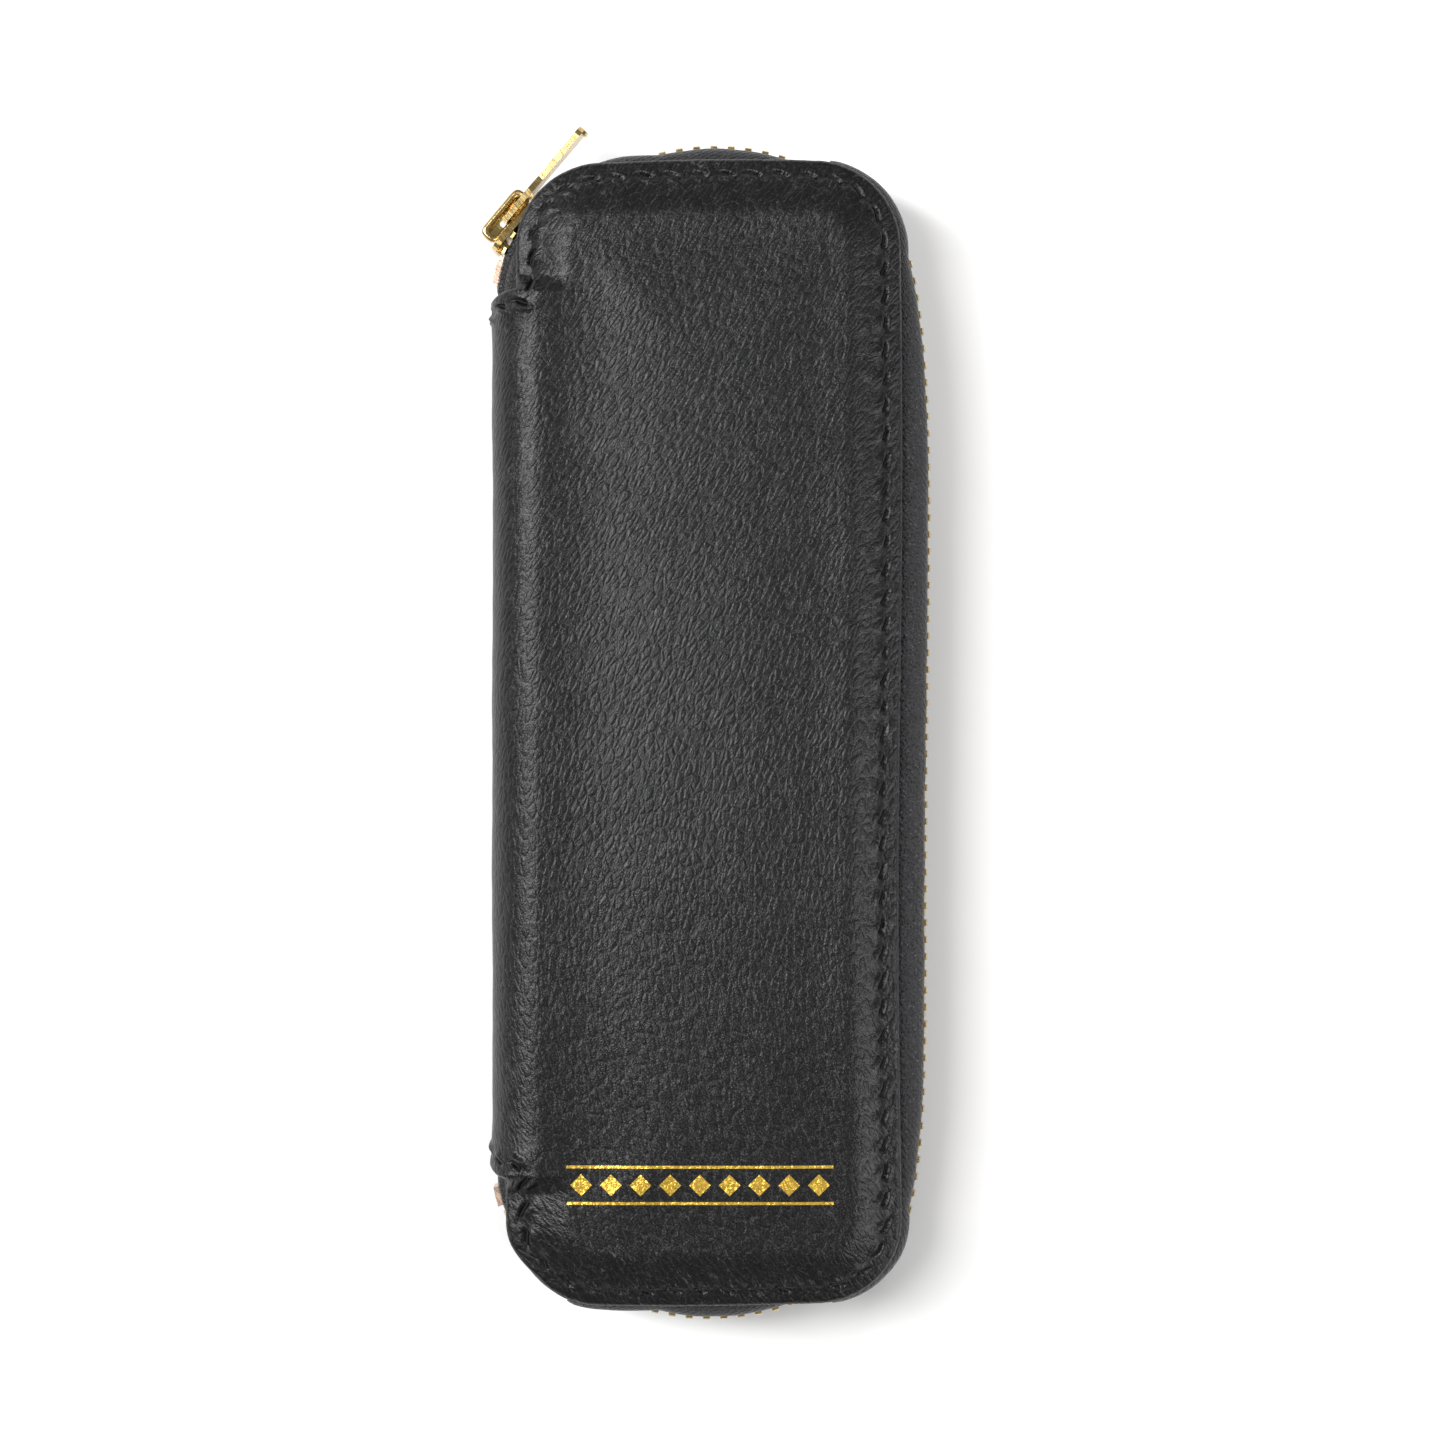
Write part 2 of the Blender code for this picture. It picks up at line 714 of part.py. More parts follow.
def zip_stops(mat):
    """Two top stops beside the slider and one bottom stop across both rows of teeth."""
    for half in ("front", "back"):
        rings = []
        for angle in spaced(*TOP_STOP, 4):
            place = corner_distance(angle)
            rings.append(chain_ring(place, TOP_STOP_HALF, *TOP_STOP_RISE))
        points, faces = swept(rings)
        build(f"top_stop_{half}", points if half == "front" else flipped(points), faces, mat, SPINE)
    places = [COURSE.length - before for before in spaced(*BOTTOM_STOP, 2)]
    rings = [chain_ring(place, BOTTOM_STOP_HALF, -BOTTOM_STOP_RISE, BOTTOM_STOP_RISE) for place in places]
    build("bottom_stop", *swept(rings), mat, SPINE)


def chain_ring(distance, half, low, high):
    """A rectangle across the chain, reaching from one height over its middle to another."""
    corners = ((half, low), (half, high), (-half, high), (-half, low))
    return [chain_point(distance, outward, height) for outward, height in corners]


# ---------------------------------------------------------------- slider and pull


def plate_outline(nose, tail):
    """A slider plate, wide at the end that parts the teeth and narrower behind."""
    corner = PLATE_CORNER
    side = arc((-SLIDER_HALF + corner, nose - corner), corner, 180, 90, 4)
    side += [Vector((0.0, nose - PLATE_WAIST))]
    side += arc((SLIDER_HALF - corner, tail - corner), corner, 90, 0, 4)
    return side + [Vector((p.x, -p.y)) for p in side[::-1]]


def upright(outline, low, high):
    """A prism along Y, from an outline in X and Z about the middle of the chain."""
    return swept([[(x, low, MID_Z + z) for x, z in outline], [(x, high, MID_Z + z) for x, z in outline]])


def cutter(name, points, faces, parent):
    obj = build(name, points, faces, bpy.data.materials["brass"], parent)
    obj.hide_render = True
    obj.display_type = "WIRE"
    return obj


def boolean(obj, other, operation):
    modifier = obj.modifiers.new(f"{operation.lower()}_{other.name}", "BOOLEAN")
    modifier.operation = operation
    modifier.solver = "EXACT"
    modifier.object = other


def slider_body(mat):
    """Two plates joined by the wedge that parts the teeth."""
    outline = plate_outline(NOSE_HALF, TAIL_HALF)
    body = build("slider_body", *upright(outline, CHANNEL[1], CHANNEL[1] + PLATE), mat, SLIDER)
    inner = cutter("slider_inner_plate", *upright(outline, CHANNEL[0] - PLATE, CHANNEL[0]), SLIDER)
    first, last = WEDGE_X
    half = [Vector((first, WEDGE_HALF)), Vector((last - WEDGE_POINT, WEDGE_HALF))]
    shape = half + [Vector((last, 0))] + [Vector((p.x, -p.y)) for p in half[::-1]]
    span = (CHANNEL[0] - PLATE / 2, CHANNEL[1] + PLATE / 2)
    wedge = cutter("slider_wedge", *upright(shape, *span), SLIDER)
    boolean(body, wedge, "UNION")
    boolean(body, inner, "UNION")


def slider_bail(mat):
    """The bridge over the plate that carries the pull."""
    foot = CHANNEL[1] + PLATE + GAP
    corner = BAIL_CORNER
    outer = [Vector((-BAIL_X, foot))] + arc((-BAIL_X + corner, BAIL_TOP - corner), corner, 180, 90, 3)
    outer += arc((BAIL_X - corner, BAIL_TOP - corner), corner, 90, 0, 3) + [Vector((BAIL_X, foot))]
    inner = offset_line(outer, -BAIL_STRIP)
    inner[0].y = foot
    inner[-1].y = foot
    half = BAIL_WIDTH / 2
    points, faces = strip(outer, inner, MID_Z - half, MID_Z + half, lambda p, at: (p.x, p.y, at))
    build("slider_bail", points, faces, mat, SLIDER)


def pull_tab(mat):
    """A flat pull with an eye that hangs on the bail, in the frame of its own crossbar."""
    half = PULL_THICKNESS / 2
    start, tip, corner = -PULL_BAR, PULL_LENGTH, PULL_CORNER
    side = [Vector((start, -PULL_HALF)), Vector((EYE_END, -PULL_HALF))]
    side.append(Vector((EYE_END + PULL_TAPER[0], -PULL_HALF + PULL_TAPER[1])))
    side += arc((tip - corner, -PULL_HALF + corner), corner, -90, 0, 3)
    tab = build("pull_tab", *hung(both_sides(side), -half, half), mat, PULL)
    eye = both_sides([Vector((PULL_BAR, -EYE_HALF)), Vector((EYE_END, -EYE_HALF))])
    hole = cutter("pull_eye", *hung(eye, -PULL_HALF, PULL_HALF), PULL)
    lip = both_sides([Vector((tip - back, -PULL_HALF + LIP_INSET)) for back in LIP])
    fold = cutter("pull_lip", *hung(lip, -half - LIP_RISE, 0.0), PULL)
    boolean(tab, hole, "DIFFERENCE")
    boolean(tab, fold, "UNION")


def both_sides(line):
    """The line and its mirror image in X, as one outline."""
    return line + [Vector((p.x, -p.y)) for p in line[::-1]]


def hung(outline, low, high):
    """A prism along Y about the pull's crossbar, from an outline in X and Z."""
    return swept([[(x, y, z) for x, z in outline] for y in (low, high)])


# ---------------------------------------------------------------- assembly

clear_scene()

BLACK_LEATHER = material("leather", (0.028, 0.028, 0.031), 0.55)
TAPE_WEAVE = material("tape", (0.05, 0.046, 0.055), 0.8)
BRASS = material("brass", (0.62, 0.44, 0.2), 0.35, 1.0)
COPPER = material("copper", (0.62, 0.36, 0.26), 0.35, 1.0)
THREAD_BLACK = material("thread", (0.02, 0.02, 0.022), 0.7)
LINING_CLOTH = material("lining", (0.06, 0.06, 0.07), 0.9)
FOAM = material("foam", (0.25, 0.25, 0.26), 0.95)
GREYBOARD = material("greyboard", (0.35, 0.33, 0.3), 0.9)
ELASTIC = material("elastic", (0.03, 0.03, 0.034), 0.85)

SPINE = joint_empty("spine_fold", (FOLD_X, 0, FOLD_INSET))
FRONT = joint_empty("front_fold", (0, 0, THICKNESS - 2 * FOLD_INSET), SPINE)
SLIDER = joint_empty(
    "slider_axis", (CORNER.x - FOLD_X, CORNER.y, -FOLD_INSET), SPINE, math.radians(SLIDER_ANGLE - 90)
)
PULL = joint_empty("pull_axis", (SWIVEL.x, SWIVEL.y, MID_Z), SLIDER)
OWN_FRAME += [SLIDER, PULL]

both_covers("leather", leather_shell(), BLACK_LEATHER)
both_covers("padding", plate(PADDING_SPREAD, PADDING), FOAM)
both_covers("board", plate(BOARD_SPREAD, BOARD), GREYBOARD)
both_covers("lining", plate(LINING_SPREAD, LINING), LINING_CLOTH)
both_covers("stitching", seam_thread(), THREAD_BLACK)
slip_pocket(LINING_CLOTH, THREAD_BLACK)
for place, band_y in BAND_Y.items():
    pen_band(band_y, f"pen_loops_{place}", ELASTIC)
spine_leather(BLACK_LEATHER)
spine_inside(GREYBOARD, LINING_CLOTH)
spine_thread("spine_stitching_top", 1, THREAD_BLACK)
spine_thread("spine_stitching_bottom", -1, THREAD_BLACK)
zip_tapes(TAPE_WEAVE)
zip_teeth(BRASS)
zip_stops(COPPER)
slider_body(BRASS)
slider_bail(BRASS)
pull_tab(BRASS)
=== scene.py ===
import math

import bmesh
import bpy
import numpy as np
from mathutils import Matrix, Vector, kdtree, noise
from mathutils.bvhtree import BVHTree
from mathutils.geometry import barycentric_transform


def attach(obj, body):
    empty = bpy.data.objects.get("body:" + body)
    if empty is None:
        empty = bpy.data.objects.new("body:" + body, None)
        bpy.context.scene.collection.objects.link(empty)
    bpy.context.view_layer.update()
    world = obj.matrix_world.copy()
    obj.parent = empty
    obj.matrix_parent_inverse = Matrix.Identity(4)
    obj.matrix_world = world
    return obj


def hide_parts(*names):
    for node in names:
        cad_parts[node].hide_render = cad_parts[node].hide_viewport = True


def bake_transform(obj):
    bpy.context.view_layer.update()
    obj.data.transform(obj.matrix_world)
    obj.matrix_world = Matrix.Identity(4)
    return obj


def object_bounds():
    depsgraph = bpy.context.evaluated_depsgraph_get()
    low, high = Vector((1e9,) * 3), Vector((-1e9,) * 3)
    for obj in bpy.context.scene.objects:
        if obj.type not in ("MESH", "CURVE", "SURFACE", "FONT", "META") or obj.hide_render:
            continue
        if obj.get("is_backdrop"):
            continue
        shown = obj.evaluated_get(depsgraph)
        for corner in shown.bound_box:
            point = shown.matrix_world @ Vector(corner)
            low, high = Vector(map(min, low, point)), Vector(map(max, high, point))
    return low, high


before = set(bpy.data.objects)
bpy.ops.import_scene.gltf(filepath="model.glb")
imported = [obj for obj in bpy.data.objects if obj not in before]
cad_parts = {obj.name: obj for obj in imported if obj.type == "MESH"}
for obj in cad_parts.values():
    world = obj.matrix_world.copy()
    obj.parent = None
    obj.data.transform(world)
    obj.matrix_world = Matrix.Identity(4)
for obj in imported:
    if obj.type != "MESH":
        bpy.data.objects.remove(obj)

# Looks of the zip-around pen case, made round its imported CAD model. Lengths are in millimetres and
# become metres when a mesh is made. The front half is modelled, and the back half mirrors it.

CAD_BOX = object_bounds()
MM = 0.001
RANDOM = np.random.default_rng(11)

# Case, as in the CAD model, except that the leather's free edge is 0.2 mm and its ends 0.6 mm further in
THICKNESS = 26.0
MID_Z = THICKNESS / 2
SPINE_X = -33.0
ROLL_RADIUS = 8.0
ROLL_X = SPINE_X + ROLL_RADIUS
LOBE_X, EDGE_X, EDGE_Y, EDGE_BOW = -29.1, 28.3, 85.2, 0.3
LOBE_RADIUS, FREE_RADIUS, CROWN_RADIUS = 12.8, 12.7, 4.0
EDGE_DROP = 4.0
EDGE_ROUND = 0.85  # share of the drop that follows a smooth S
PUFF_DEPTH, PUFF_REACH = 0.5, 22.0  # the most that the cover sinks, and how far in it has risen again
CURL_REACH, CURL_DEPTH = 0.55, 0.5  # width and depth of the curl at the leather's turned edge
LEATHER = 1.1  # 0.1 mm thinner than in the CAD model
NOTCH_Y = 66.2  # where a corner's edge meets the end of the spine leather
SPINE_MIDDLE = ROLL_X - ROLL_RADIUS * math.pi / 2 - (MID_Z - ROLL_RADIUS)  # in the leather laid flat
SPINE_SHRINK = 1.4  # how much shorter the spine leather is along its middle
LOBE = np.array([LOBE_X + LOBE_RADIUS, EDGE_Y - LOBE_RADIUS])
FREE = np.array([EDGE_X - FREE_RADIUS, EDGE_Y - FREE_RADIUS])
LIFT = (65.4, 68.4)  # the edge falls from the spine's roll to the stitched rim between these
MEDIAL = (-1.0, 55.0)  # the middle line that the cover's rings close on

# Stitching
STITCH = 4.05
SEAM_INSET = 2.35
HEM_INSET = 2.1
THREAD_RADIUS = 0.2

# Zip
PITCH = 2.54
CORNER = np.array([-16.2, 65.7])
CORNER_RADIUS = 15.5
FREE_CORNER = np.array([14.4, 67.5])
FREE_CHAIN_RADIUS = 15.0
CHAIN_TOP_Y, CHAIN_EDGE_X = 87.1, 31.6
CHAIN_RISE = np.array([0.8, 0.6])  # its direction where it leaves a corner for the middle
TAPE = 0.55
TAPE_SEAM, TAPE_KNEE, TAPE_BEND, TAPE_FOOT = 7.2, 5.4, 3.7, 2.7
TAPE_BULGE = (0.45, 0.15)  # how far the tape stands out over the teeth, at the sides and at the ends
TAPE_TUCKED = -1.0  # the same beside the spine, where the stops show
TAPE_MARGIN = 0.6  # how far it shows past the leather at the corners
TAPE_WITHIN = 1.2  # how far inside the leather's edge it is beside the spine
CLEAR_OF_SLIDER = (19.0, 29.0)  # distances along the zip between which it spreads out
CLEAR_OF_END = (5.0, 13.0)  # the same from the zip's other end
TAPE_TAIL, TUCK = 2.6, 0.3  # the tape's ends, which turn in under the spine's hem
TAPE_INSET = 2.2
PARTED = 1.5  # how far the slider lifts each half of the zip off the middle
TEETH_FROM = 160.0  # degrees round the corner, after which the teeth begin
TEETH_SHORT = 6.0  # they stop at least this far before the chain's other end
CHAIN_FIRST, CHAIN_LAST, PARTED_FROM, PARTED_TO = 177.0, 100.0, 130.0, 104.0


# ---------------------------------------------------------------- meshes


def smoothstep(t):
    t = np.clip(t, 0, 1)
    return t * t * (3 - 2 * t)


def object_of(name, points, faces, material, sharp=60.0, attributes=None):
    """A mesh object from points in millimetres, with one value per point in each named attribute."""
    mesh = bpy.data.meshes.new(name)
    mesh.from_pydata((np.asarray(points) * MM).tolist(), [], [list(map(int, face)) for face in faces])
    for key, values in (attributes or {}).items():
        values = np.asarray(values, np.float32)
        kind = "FLOAT" if values.ndim == 1 else "FLOAT_VECTOR"
        layer = mesh.attributes.new(key, kind, "POINT")
        layer.data.foreach_set("value" if values.ndim == 1 else "vector", values.ravel())
    mesh.materials.append(material)
    mesh.shade_smooth()
    mesh.set_sharp_from_angle(angle=math.radians(sharp))
    obj = bpy.data.objects.new(name, mesh)
    bpy.context.scene.collection.objects.link(obj)
    return obj


def point_normals(points, faces):
    mesh = bpy.data.meshes.new("normals")
    mesh.from_pydata(points.tolist(), [], [list(map(int, face)) for face in faces])
    normals = np.empty(len(points) * 3, np.float32)
    mesh.vertices.foreach_get("normal", normals)
    bpy.data.meshes.remove(mesh)
    return normals.reshape(-1, 3)


def facing_up(points, faces, watched=slice(None)):
    """The faces turned so that the watched points face up, and every point's normal."""
    normals = point_normals(points, faces)
    if normals[watched, 2].mean() < 0:
        return [face[::-1] for face in faces], -normals
    return faces, normals


def grid_faces(ids):
    """Faces between the rows and columns of an array of point numbers."""
    faces = []
    for low, high in zip(ids, ids[1:]):
        for a, b, c, d in zip(low, low[1:], high[1:], high):
            corners = list(dict.fromkeys((int(a), int(b), int(c), int(d))))
            if len(corners) > 2:
                faces.append(corners)
    return faces


def thickened(outer, inner, faces):
    """A closed sheet: the outer points, the inner points behind them, and the edge between."""
    count = len(outer)
    edges = {(a, b) for face in faces for a, b in zip(face, face[1:] + face[:1])}
    closed = list(faces) + [[i + count for i in face[::-1]] for face in faces]
    closed += [[b, a, a + count, b + count] for a, b in edges if (b, a) not in edges]
    return np.vstack([outer, inner]), closed


def flipped(points):
    """The same points on the other half of the case."""
    turned = np.array(points, float)
    turned[:, 2] = THICKNESS - turned[:, 2]
    return turned


def both_halves(name, points, faces, material, sharp, attributes):
    """The piece of the front half and its mirror image in the back half, each with its side's name."""
    for side, shape, flip in (("front", points, 1), ("back", flipped(points), -1)):
        turned = [face[::flip] for face in faces]
        yield side, object_of(f"{name}_{side}", shape, turned, material, sharp, attributes)


def noise_at(points, size, seed=0.0):
    """Smooth noise from -1 to 1 whose bumps are about this many millimetres across."""
    shift = Vector((seed, seed * 1.7, seed * 0.6))
    return np.array([noise.noise(Vector(point) / size + shift) for point in points])


def arc(centre, radius, first, last, steps):
    angles = np.radians(np.linspace(first, last, steps + 1))
    return np.column_stack([centre[0] + radius * np.cos(angles), centre[1] + radius * np.sin(angles)])


def distances_along(line):
    return np.concatenate([[0], np.cumsum(np.linalg.norm(np.diff(line, axis=0), axis=1))])


def interpolated(places, marks, line):
    """Points at these distances along a line whose own points are at the marks."""
    return np.column_stack([np.interp(places, marks, values) for values in line.T])


def resampled(line, step):
    """A line's points about this far apart, the distance to each and the direction there."""
    marks = distances_along(line)
    places = np.linspace(0, marks[-1], max(int(round(marks[-1] / step)), 1) + 1)
    points = interpolated(places, marks, line)
    ways = np.gradient(points, axis=0)
    return points, places, ways / np.linalg.norm(ways, axis=1)[:, None]


# ---------------------------------------------------------------- materials


class Graph:
    """A material whose nodes are added one by one. Sizes in its textures are per millimetre."""

    def __init__(self, name, **sockets):
        self.material = bpy.data.materials.new(name)
        self.material.use_nodes = True
        self.tree = self.material.node_tree
        self.shader = self.tree.nodes["Principled BSDF"]
        for key, value in sockets.items():
            self.shader.inputs[key.replace("_", " ")].default_value = value

    def node(self, kind, inputs, output=0, **settings):
        node = self.tree.nodes.new("ShaderNode" + kind)
        for key, value in settings.items():
            setattr(node, key, value)
        for key, value in inputs.items():
            if isinstance(value, bpy.types.NodeSocket):
                self.tree.links.new(value, node.inputs[key])
            else:
                node.inputs[key].default_value = value
        return node.outputs[output]

    def math(self, operation, a, b=0.0, c=0.0):
        return self.node("Math", {0: a, 1: b, 2: c}, operation=operation)

    def attribute(self, name, vector=True):
        return self.node("Attribute", {}, 1 if vector else 2, attribute_name=name)

    def place(self):
        """The object's own coordinates in millimetres."""
        coordinates = self.node("TexCoord", {}, 3)
        return self.node("VectorMath", {0: coordinates, "Scale": 1 / MM}, operation="SCALE")

    def mapped(self, vector, turn=0.0, scale=(1, 1, 1)):
        turned = self.node("Mapping", {0: vector, "Rotation": (0, 0, math.radians(turn))})
        return self.node("Mapping", {0: turned, "Scale": scale})

    def noise(self, vector, scale, detail=3.0, distortion=0.0):
        inputs = {"Vector": vector, "Scale": scale, "Detail": detail, "Distortion": distortion}
        return self.node("TexNoise", inputs)

    def cells(self, vector, scale, feature="F1", output=0, randomness=1.0):
        inputs = {"Vector": vector, "Scale": scale, "Randomness": randomness}
        return self.node("TexVoronoi", inputs, output, feature=feature)

    def ramp(self, value, low, high, to_low=0.0, to_high=1.0):
        inputs = {0: value, 1: low, 2: high, 3: to_low, 4: to_high}
        return self.node("MapRange", inputs, interpolation_type="SMOOTHSTEP")

    def mix(self, factor, a, b):
        """A colour between a and b."""
        node = self.tree.nodes.new("ShaderNodeMix")
        node.data_type = "RGBA"
        for key, value in ((0, factor), (6, a), (7, b)):
            if isinstance(value, bpy.types.NodeSocket):
                self.tree.links.new(value, node.inputs[key])
            else:
                node.inputs[key].default_value = (*value, 1) if key else value
        return node.outputs[2]

    def bump(self, height, depth, under=None):
        """Relief this many millimetres deep, on top of the relief under it."""
        inputs = {"Height": height, "Distance": depth * MM, "Strength": 1.0}
        if under is not None:
            inputs["Normal"] = under
        return self.node("Bump", inputs)

    def finish(self, **links):
        for key, value in links.items():
            self.tree.links.new(value, self.shader.inputs[key.replace("_", " ")])
        return self.material


def leather_material():
    """Black grained leather: small cells drawn out along the hide, long broken creases, a low wax sheen. The
    light lines of the cells and creases are painted highlights, and the stitches' slits have painted shade.
    """
    g = Graph("leather", Specular_IOR_Level=0.32)
    flat, flow = g.attribute("grain"), g.attribute("flow")
    drifting = g.node("TexNoise", {"Vector": flat, "Scale": 0.45}, 1)
    wander = g.node("VectorMath", {0: drifting, "Scale": 0.5}, operation="SCALE")
    warped = g.node("VectorMath", {0: flow, 1: wander})
    cells = g.mapped(warped, 0, (1.0, 0.52, 1))
    edge = g.cells(cells, 1.0, "DISTANCE_TO_EDGE")
    small_edge = g.cells(g.mapped(warped, 20, (1.0, 0.8, 1)), 2.7, "DISTANCE_TO_EDGE")
    fine = g.noise(flat, 4.5, 4.0)
    patch = g.noise(flat, 0.5, 3.0)
    streak = g.noise(g.mapped(warped, 0, (0.75, 0.1, 1)), 1.0, 3.0, 0.3)
    ridge = g.ramp(g.math("ABSOLUTE", g.math("SUBTRACT", streak, 0.5)), 0.0, 0.011, 1.0, 0.0)
    broken = g.math("MULTIPLY", g.ramp(patch, 0.44, 0.6), g.ramp(fine, 0.4, 0.56))
    crease_highlight = g.math("MULTIPLY", ridge, broken)
    net_highlight = g.math("MULTIPLY", g.ramp(edge, 0.01, 0.05, 1.0, 0.0), g.ramp(fine, 0.42, 0.6))
    small_line = g.ramp(small_edge, 0.03, 0.2, 1.0, 0.0)
    small_net_highlight = g.math("MULTIPLY", small_line, g.ramp(patch, 0.3, 0.7, 0.35, 1.0))
    colour = g.mix(g.ramp(fine, 0.35, 0.65), (0.002, 0.002, 0.0023), (0.0055, 0.0055, 0.006))
    # Painted highlights: the cell lines and creases are made lighter in the colour, for light caught on their
    # flanks.
    colour = g.mix(g.math("MULTIPLY", small_net_highlight, 0.3), colour, (0.02, 0.02, 0.021))
    colour = g.mix(g.math("MULTIPLY", net_highlight, 0.6), colour, (0.05, 0.0495, 0.05))
    colour = g.mix(g.math("MULTIPLY", crease_highlight, 0.45), colour, (0.16, 0.158, 0.155))
    # Painted shade: the leather is darkened in the stitches' slits and along the seam's groove.
    colour = g.mix(g.attribute("depth", False), colour, (0.001, 0.001, 0.001))
    foil = foil_mask(g, flat)
    # The foil is darker gold along the grain's cell lines and creases.
    foil_darker_on_grain_lines = g.ramp(g.math("MAXIMUM", net_highlight, crease_highlight), 0.4, 0.9, 1.0, 0.25)
    colour = g.mix(foil, colour, g.mix(foil_darker_on_grain_lines, (0.2, 0.11, 0.01), (0.86, 0.56, 0.09)))
    rough = g.ramp(fine, 0.3, 0.7, 0.3, 0.42)
    normal = g.bump(g.ramp(edge, 0.0, 0.3), 0.05)
    normal = g.bump(g.ramp(small_edge, 0.0, 0.35), 0.018, normal)
    normal = g.bump(fine, 0.014, normal)
    return g.finish(Base_Color=colour, Roughness=rough, Normal=normal, Metallic=foil)


FOIL = (-1.65, -66.9)  # middle of the foil border
FOIL_HALF = (19.8, 2.7)  # half its length and the height of its rules from the middle
FOIL_RULE = 0.2  # half a rule's width
FOIL_PITCH, FOIL_GEM = 4.4, 1.6  # between the lozenges' middles, and half a lozenge's width
FOIL_BLUR = 0.05


def foil_mask(g, flat):
    """Two plain rules with a row of lozenges between them, stamped in foil on the front only."""
    parts = g.tree.nodes.new("ShaderNodeSeparateXYZ")
    g.tree.links.new(flat, parts.inputs[0])
    across = g.math("SUBTRACT", parts.outputs[0], FOIL[0])
    along = g.math("ABSOLUTE", g.math("SUBTRACT", parts.outputs[1], FOIL[1]))
    beside = g.math("ABSOLUTE", g.math("SUBTRACT", along, FOIL_HALF[1]))
    rule = g.ramp(beside, FOIL_RULE - FOIL_BLUR, FOIL_RULE + FOIL_BLUR, 1, 0)
    step = g.math("PINGPONG", across, FOIL_PITCH / 2)
    gem = g.ramp(g.math("ADD", step, along), FOIL_GEM - FOIL_BLUR, FOIL_GEM + FOIL_BLUR, 1, 0)
    within = g.ramp(g.math("ABSOLUTE", across), FOIL_HALF[0] - 0.1, FOIL_HALF[0], 1, 0)
    front = g.math("GREATER_THAN", parts.outputs[2], 0.5)
    return g.math("MULTIPLY", g.math("MULTIPLY", g.math("MAXIMUM", rule, gem), within), front)


def tape_material():
    """Dark zip tape: a close twill of shiny yarn, uneven in the light, with a few painted glints."""
    g = Graph("zip tape", Specular_IOR_Level=0.5)
    flat = g.attribute("grain")
    rough_cells = g.cells(g.mapped(flat, 30, (1.0, 1.5, 1)), 1.9, "F1")
    yarn = g.node("TexWave", {"Vector": g.mapped(flat, 52), "Scale": 0.42, "Distortion": 2.5, "Detail": 3.0})
    fuzz = g.noise(flat, 3.2, 5.0)
    # Painted glints: bright specks in the colour, for light caught on the shiny yarn.
    glint = g.ramp(g.cells(flat, 1.9), 0.06, 0.3, 1.0, 0.0)
    glint = g.math("MULTIPLY", glint, g.ramp(g.noise(flat, 0.7, 2.0), 0.42, 0.58))
    colour = g.mix(g.ramp(fuzz, 0.35, 0.65), (0.004, 0.004, 0.0045), (0.03, 0.029, 0.033))
    colour = g.mix(g.math("MULTIPLY", glint, 0.6), colour, (0.2, 0.19, 0.22))
    normal = g.bump(g.math("MULTIPLY", yarn, g.ramp(rough_cells, 0.1, 0.6)), 0.15)
    normal = g.bump(g.ramp(rough_cells, 0.05, 0.5, 1.0, 0.0), 0.3, normal)
    normal = g.bump(fuzz, 0.3, normal)
    return g.finish(Base_Color=colour, Roughness=g.ramp(fuzz, 0.3, 0.7, 0.25, 0.5), Normal=normal)


def metal_material(name, light, dark, roughness):
    """Plated metal with a soft brushed grain, fine scratches and darker patches."""
    g = Graph(name, Metallic=1.0)
    place = g.place()
    brushed = g.noise(g.mapped(place, 50, (0.35, 5.0, 2.0)), 1.4, 4.0)
    cloud = g.noise(place, 0.7, 3.0)
    scratch = g.ramp(g.noise(g.mapped(place, 20, (0.12, 3.0, 1.2)), 2.2, 3.0), 0.6, 0.66)
    colour = g.mix(g.ramp(cloud, 0.35, 0.7), dark, light)
    colour = g.mix(g.math("MULTIPLY", scratch, 0.35), colour, light)
    rough = g.ramp(brushed, 0.3, 0.7, roughness - 0.07, roughness + 0.1)
    rough = g.math("ADD", rough, g.math("MULTIPLY", scratch, 0.1))
    return g.finish(Base_Color=colour, Roughness=rough, Normal=g.bump(brushed, 0.0015))


def thread_material():
    """Waxed black thread with the twist of its plies."""
    g = Graph("thread", Specular_IOR_Level=0.4)
    flat = g.attribute("grain")
    twist = g.node("TexWave", {"Vector": g.mapped(flat, 35), "Scale": 1.6, "Distortion": 0.4})
    fuzz = g.noise(flat, 7.0, 3.0)
    colour = g.mix(g.ramp(twist, 0.1, 0.9), (0.004, 0.004, 0.0045), (0.018, 0.018, 0.019))
    normal = g.bump(fuzz, 0.03, g.bump(twist, 0.07))
    return g.finish(Base_Color=colour, Roughness=g.ramp(fuzz, 0.3, 0.7, 0.45, 0.7), Normal=normal)


# ---------------------------------------------------------------- leather


def spine_end(s):
    """Half the leather's length at this place across the spine, with rounded ends."""
    share = smoothstep((LOBE_X - s) / (LOBE_X - SPINE_MIDDLE) * 1.6)
    return NOTCH_Y - SPINE_SHRINK * share


LEFT_ROWS = np.concatenate([np.linspace(0, 62, 100), np.linspace(62, NOTCH_Y, 36)[1:]])
LOBE_ROWS = np.linspace(NOTCH_Y, LOBE[1], 17)[1:]
RIGHT_ROWS = np.concatenate([np.linspace(0, 62, 100), np.linspace(62, FREE[1], 22)[1:]])


def end_bow(t):
    """How far the case's end bows out, this share of the way between its corners."""
    return EDGE_BOW * (1 - (2 * t - 1) ** 2)


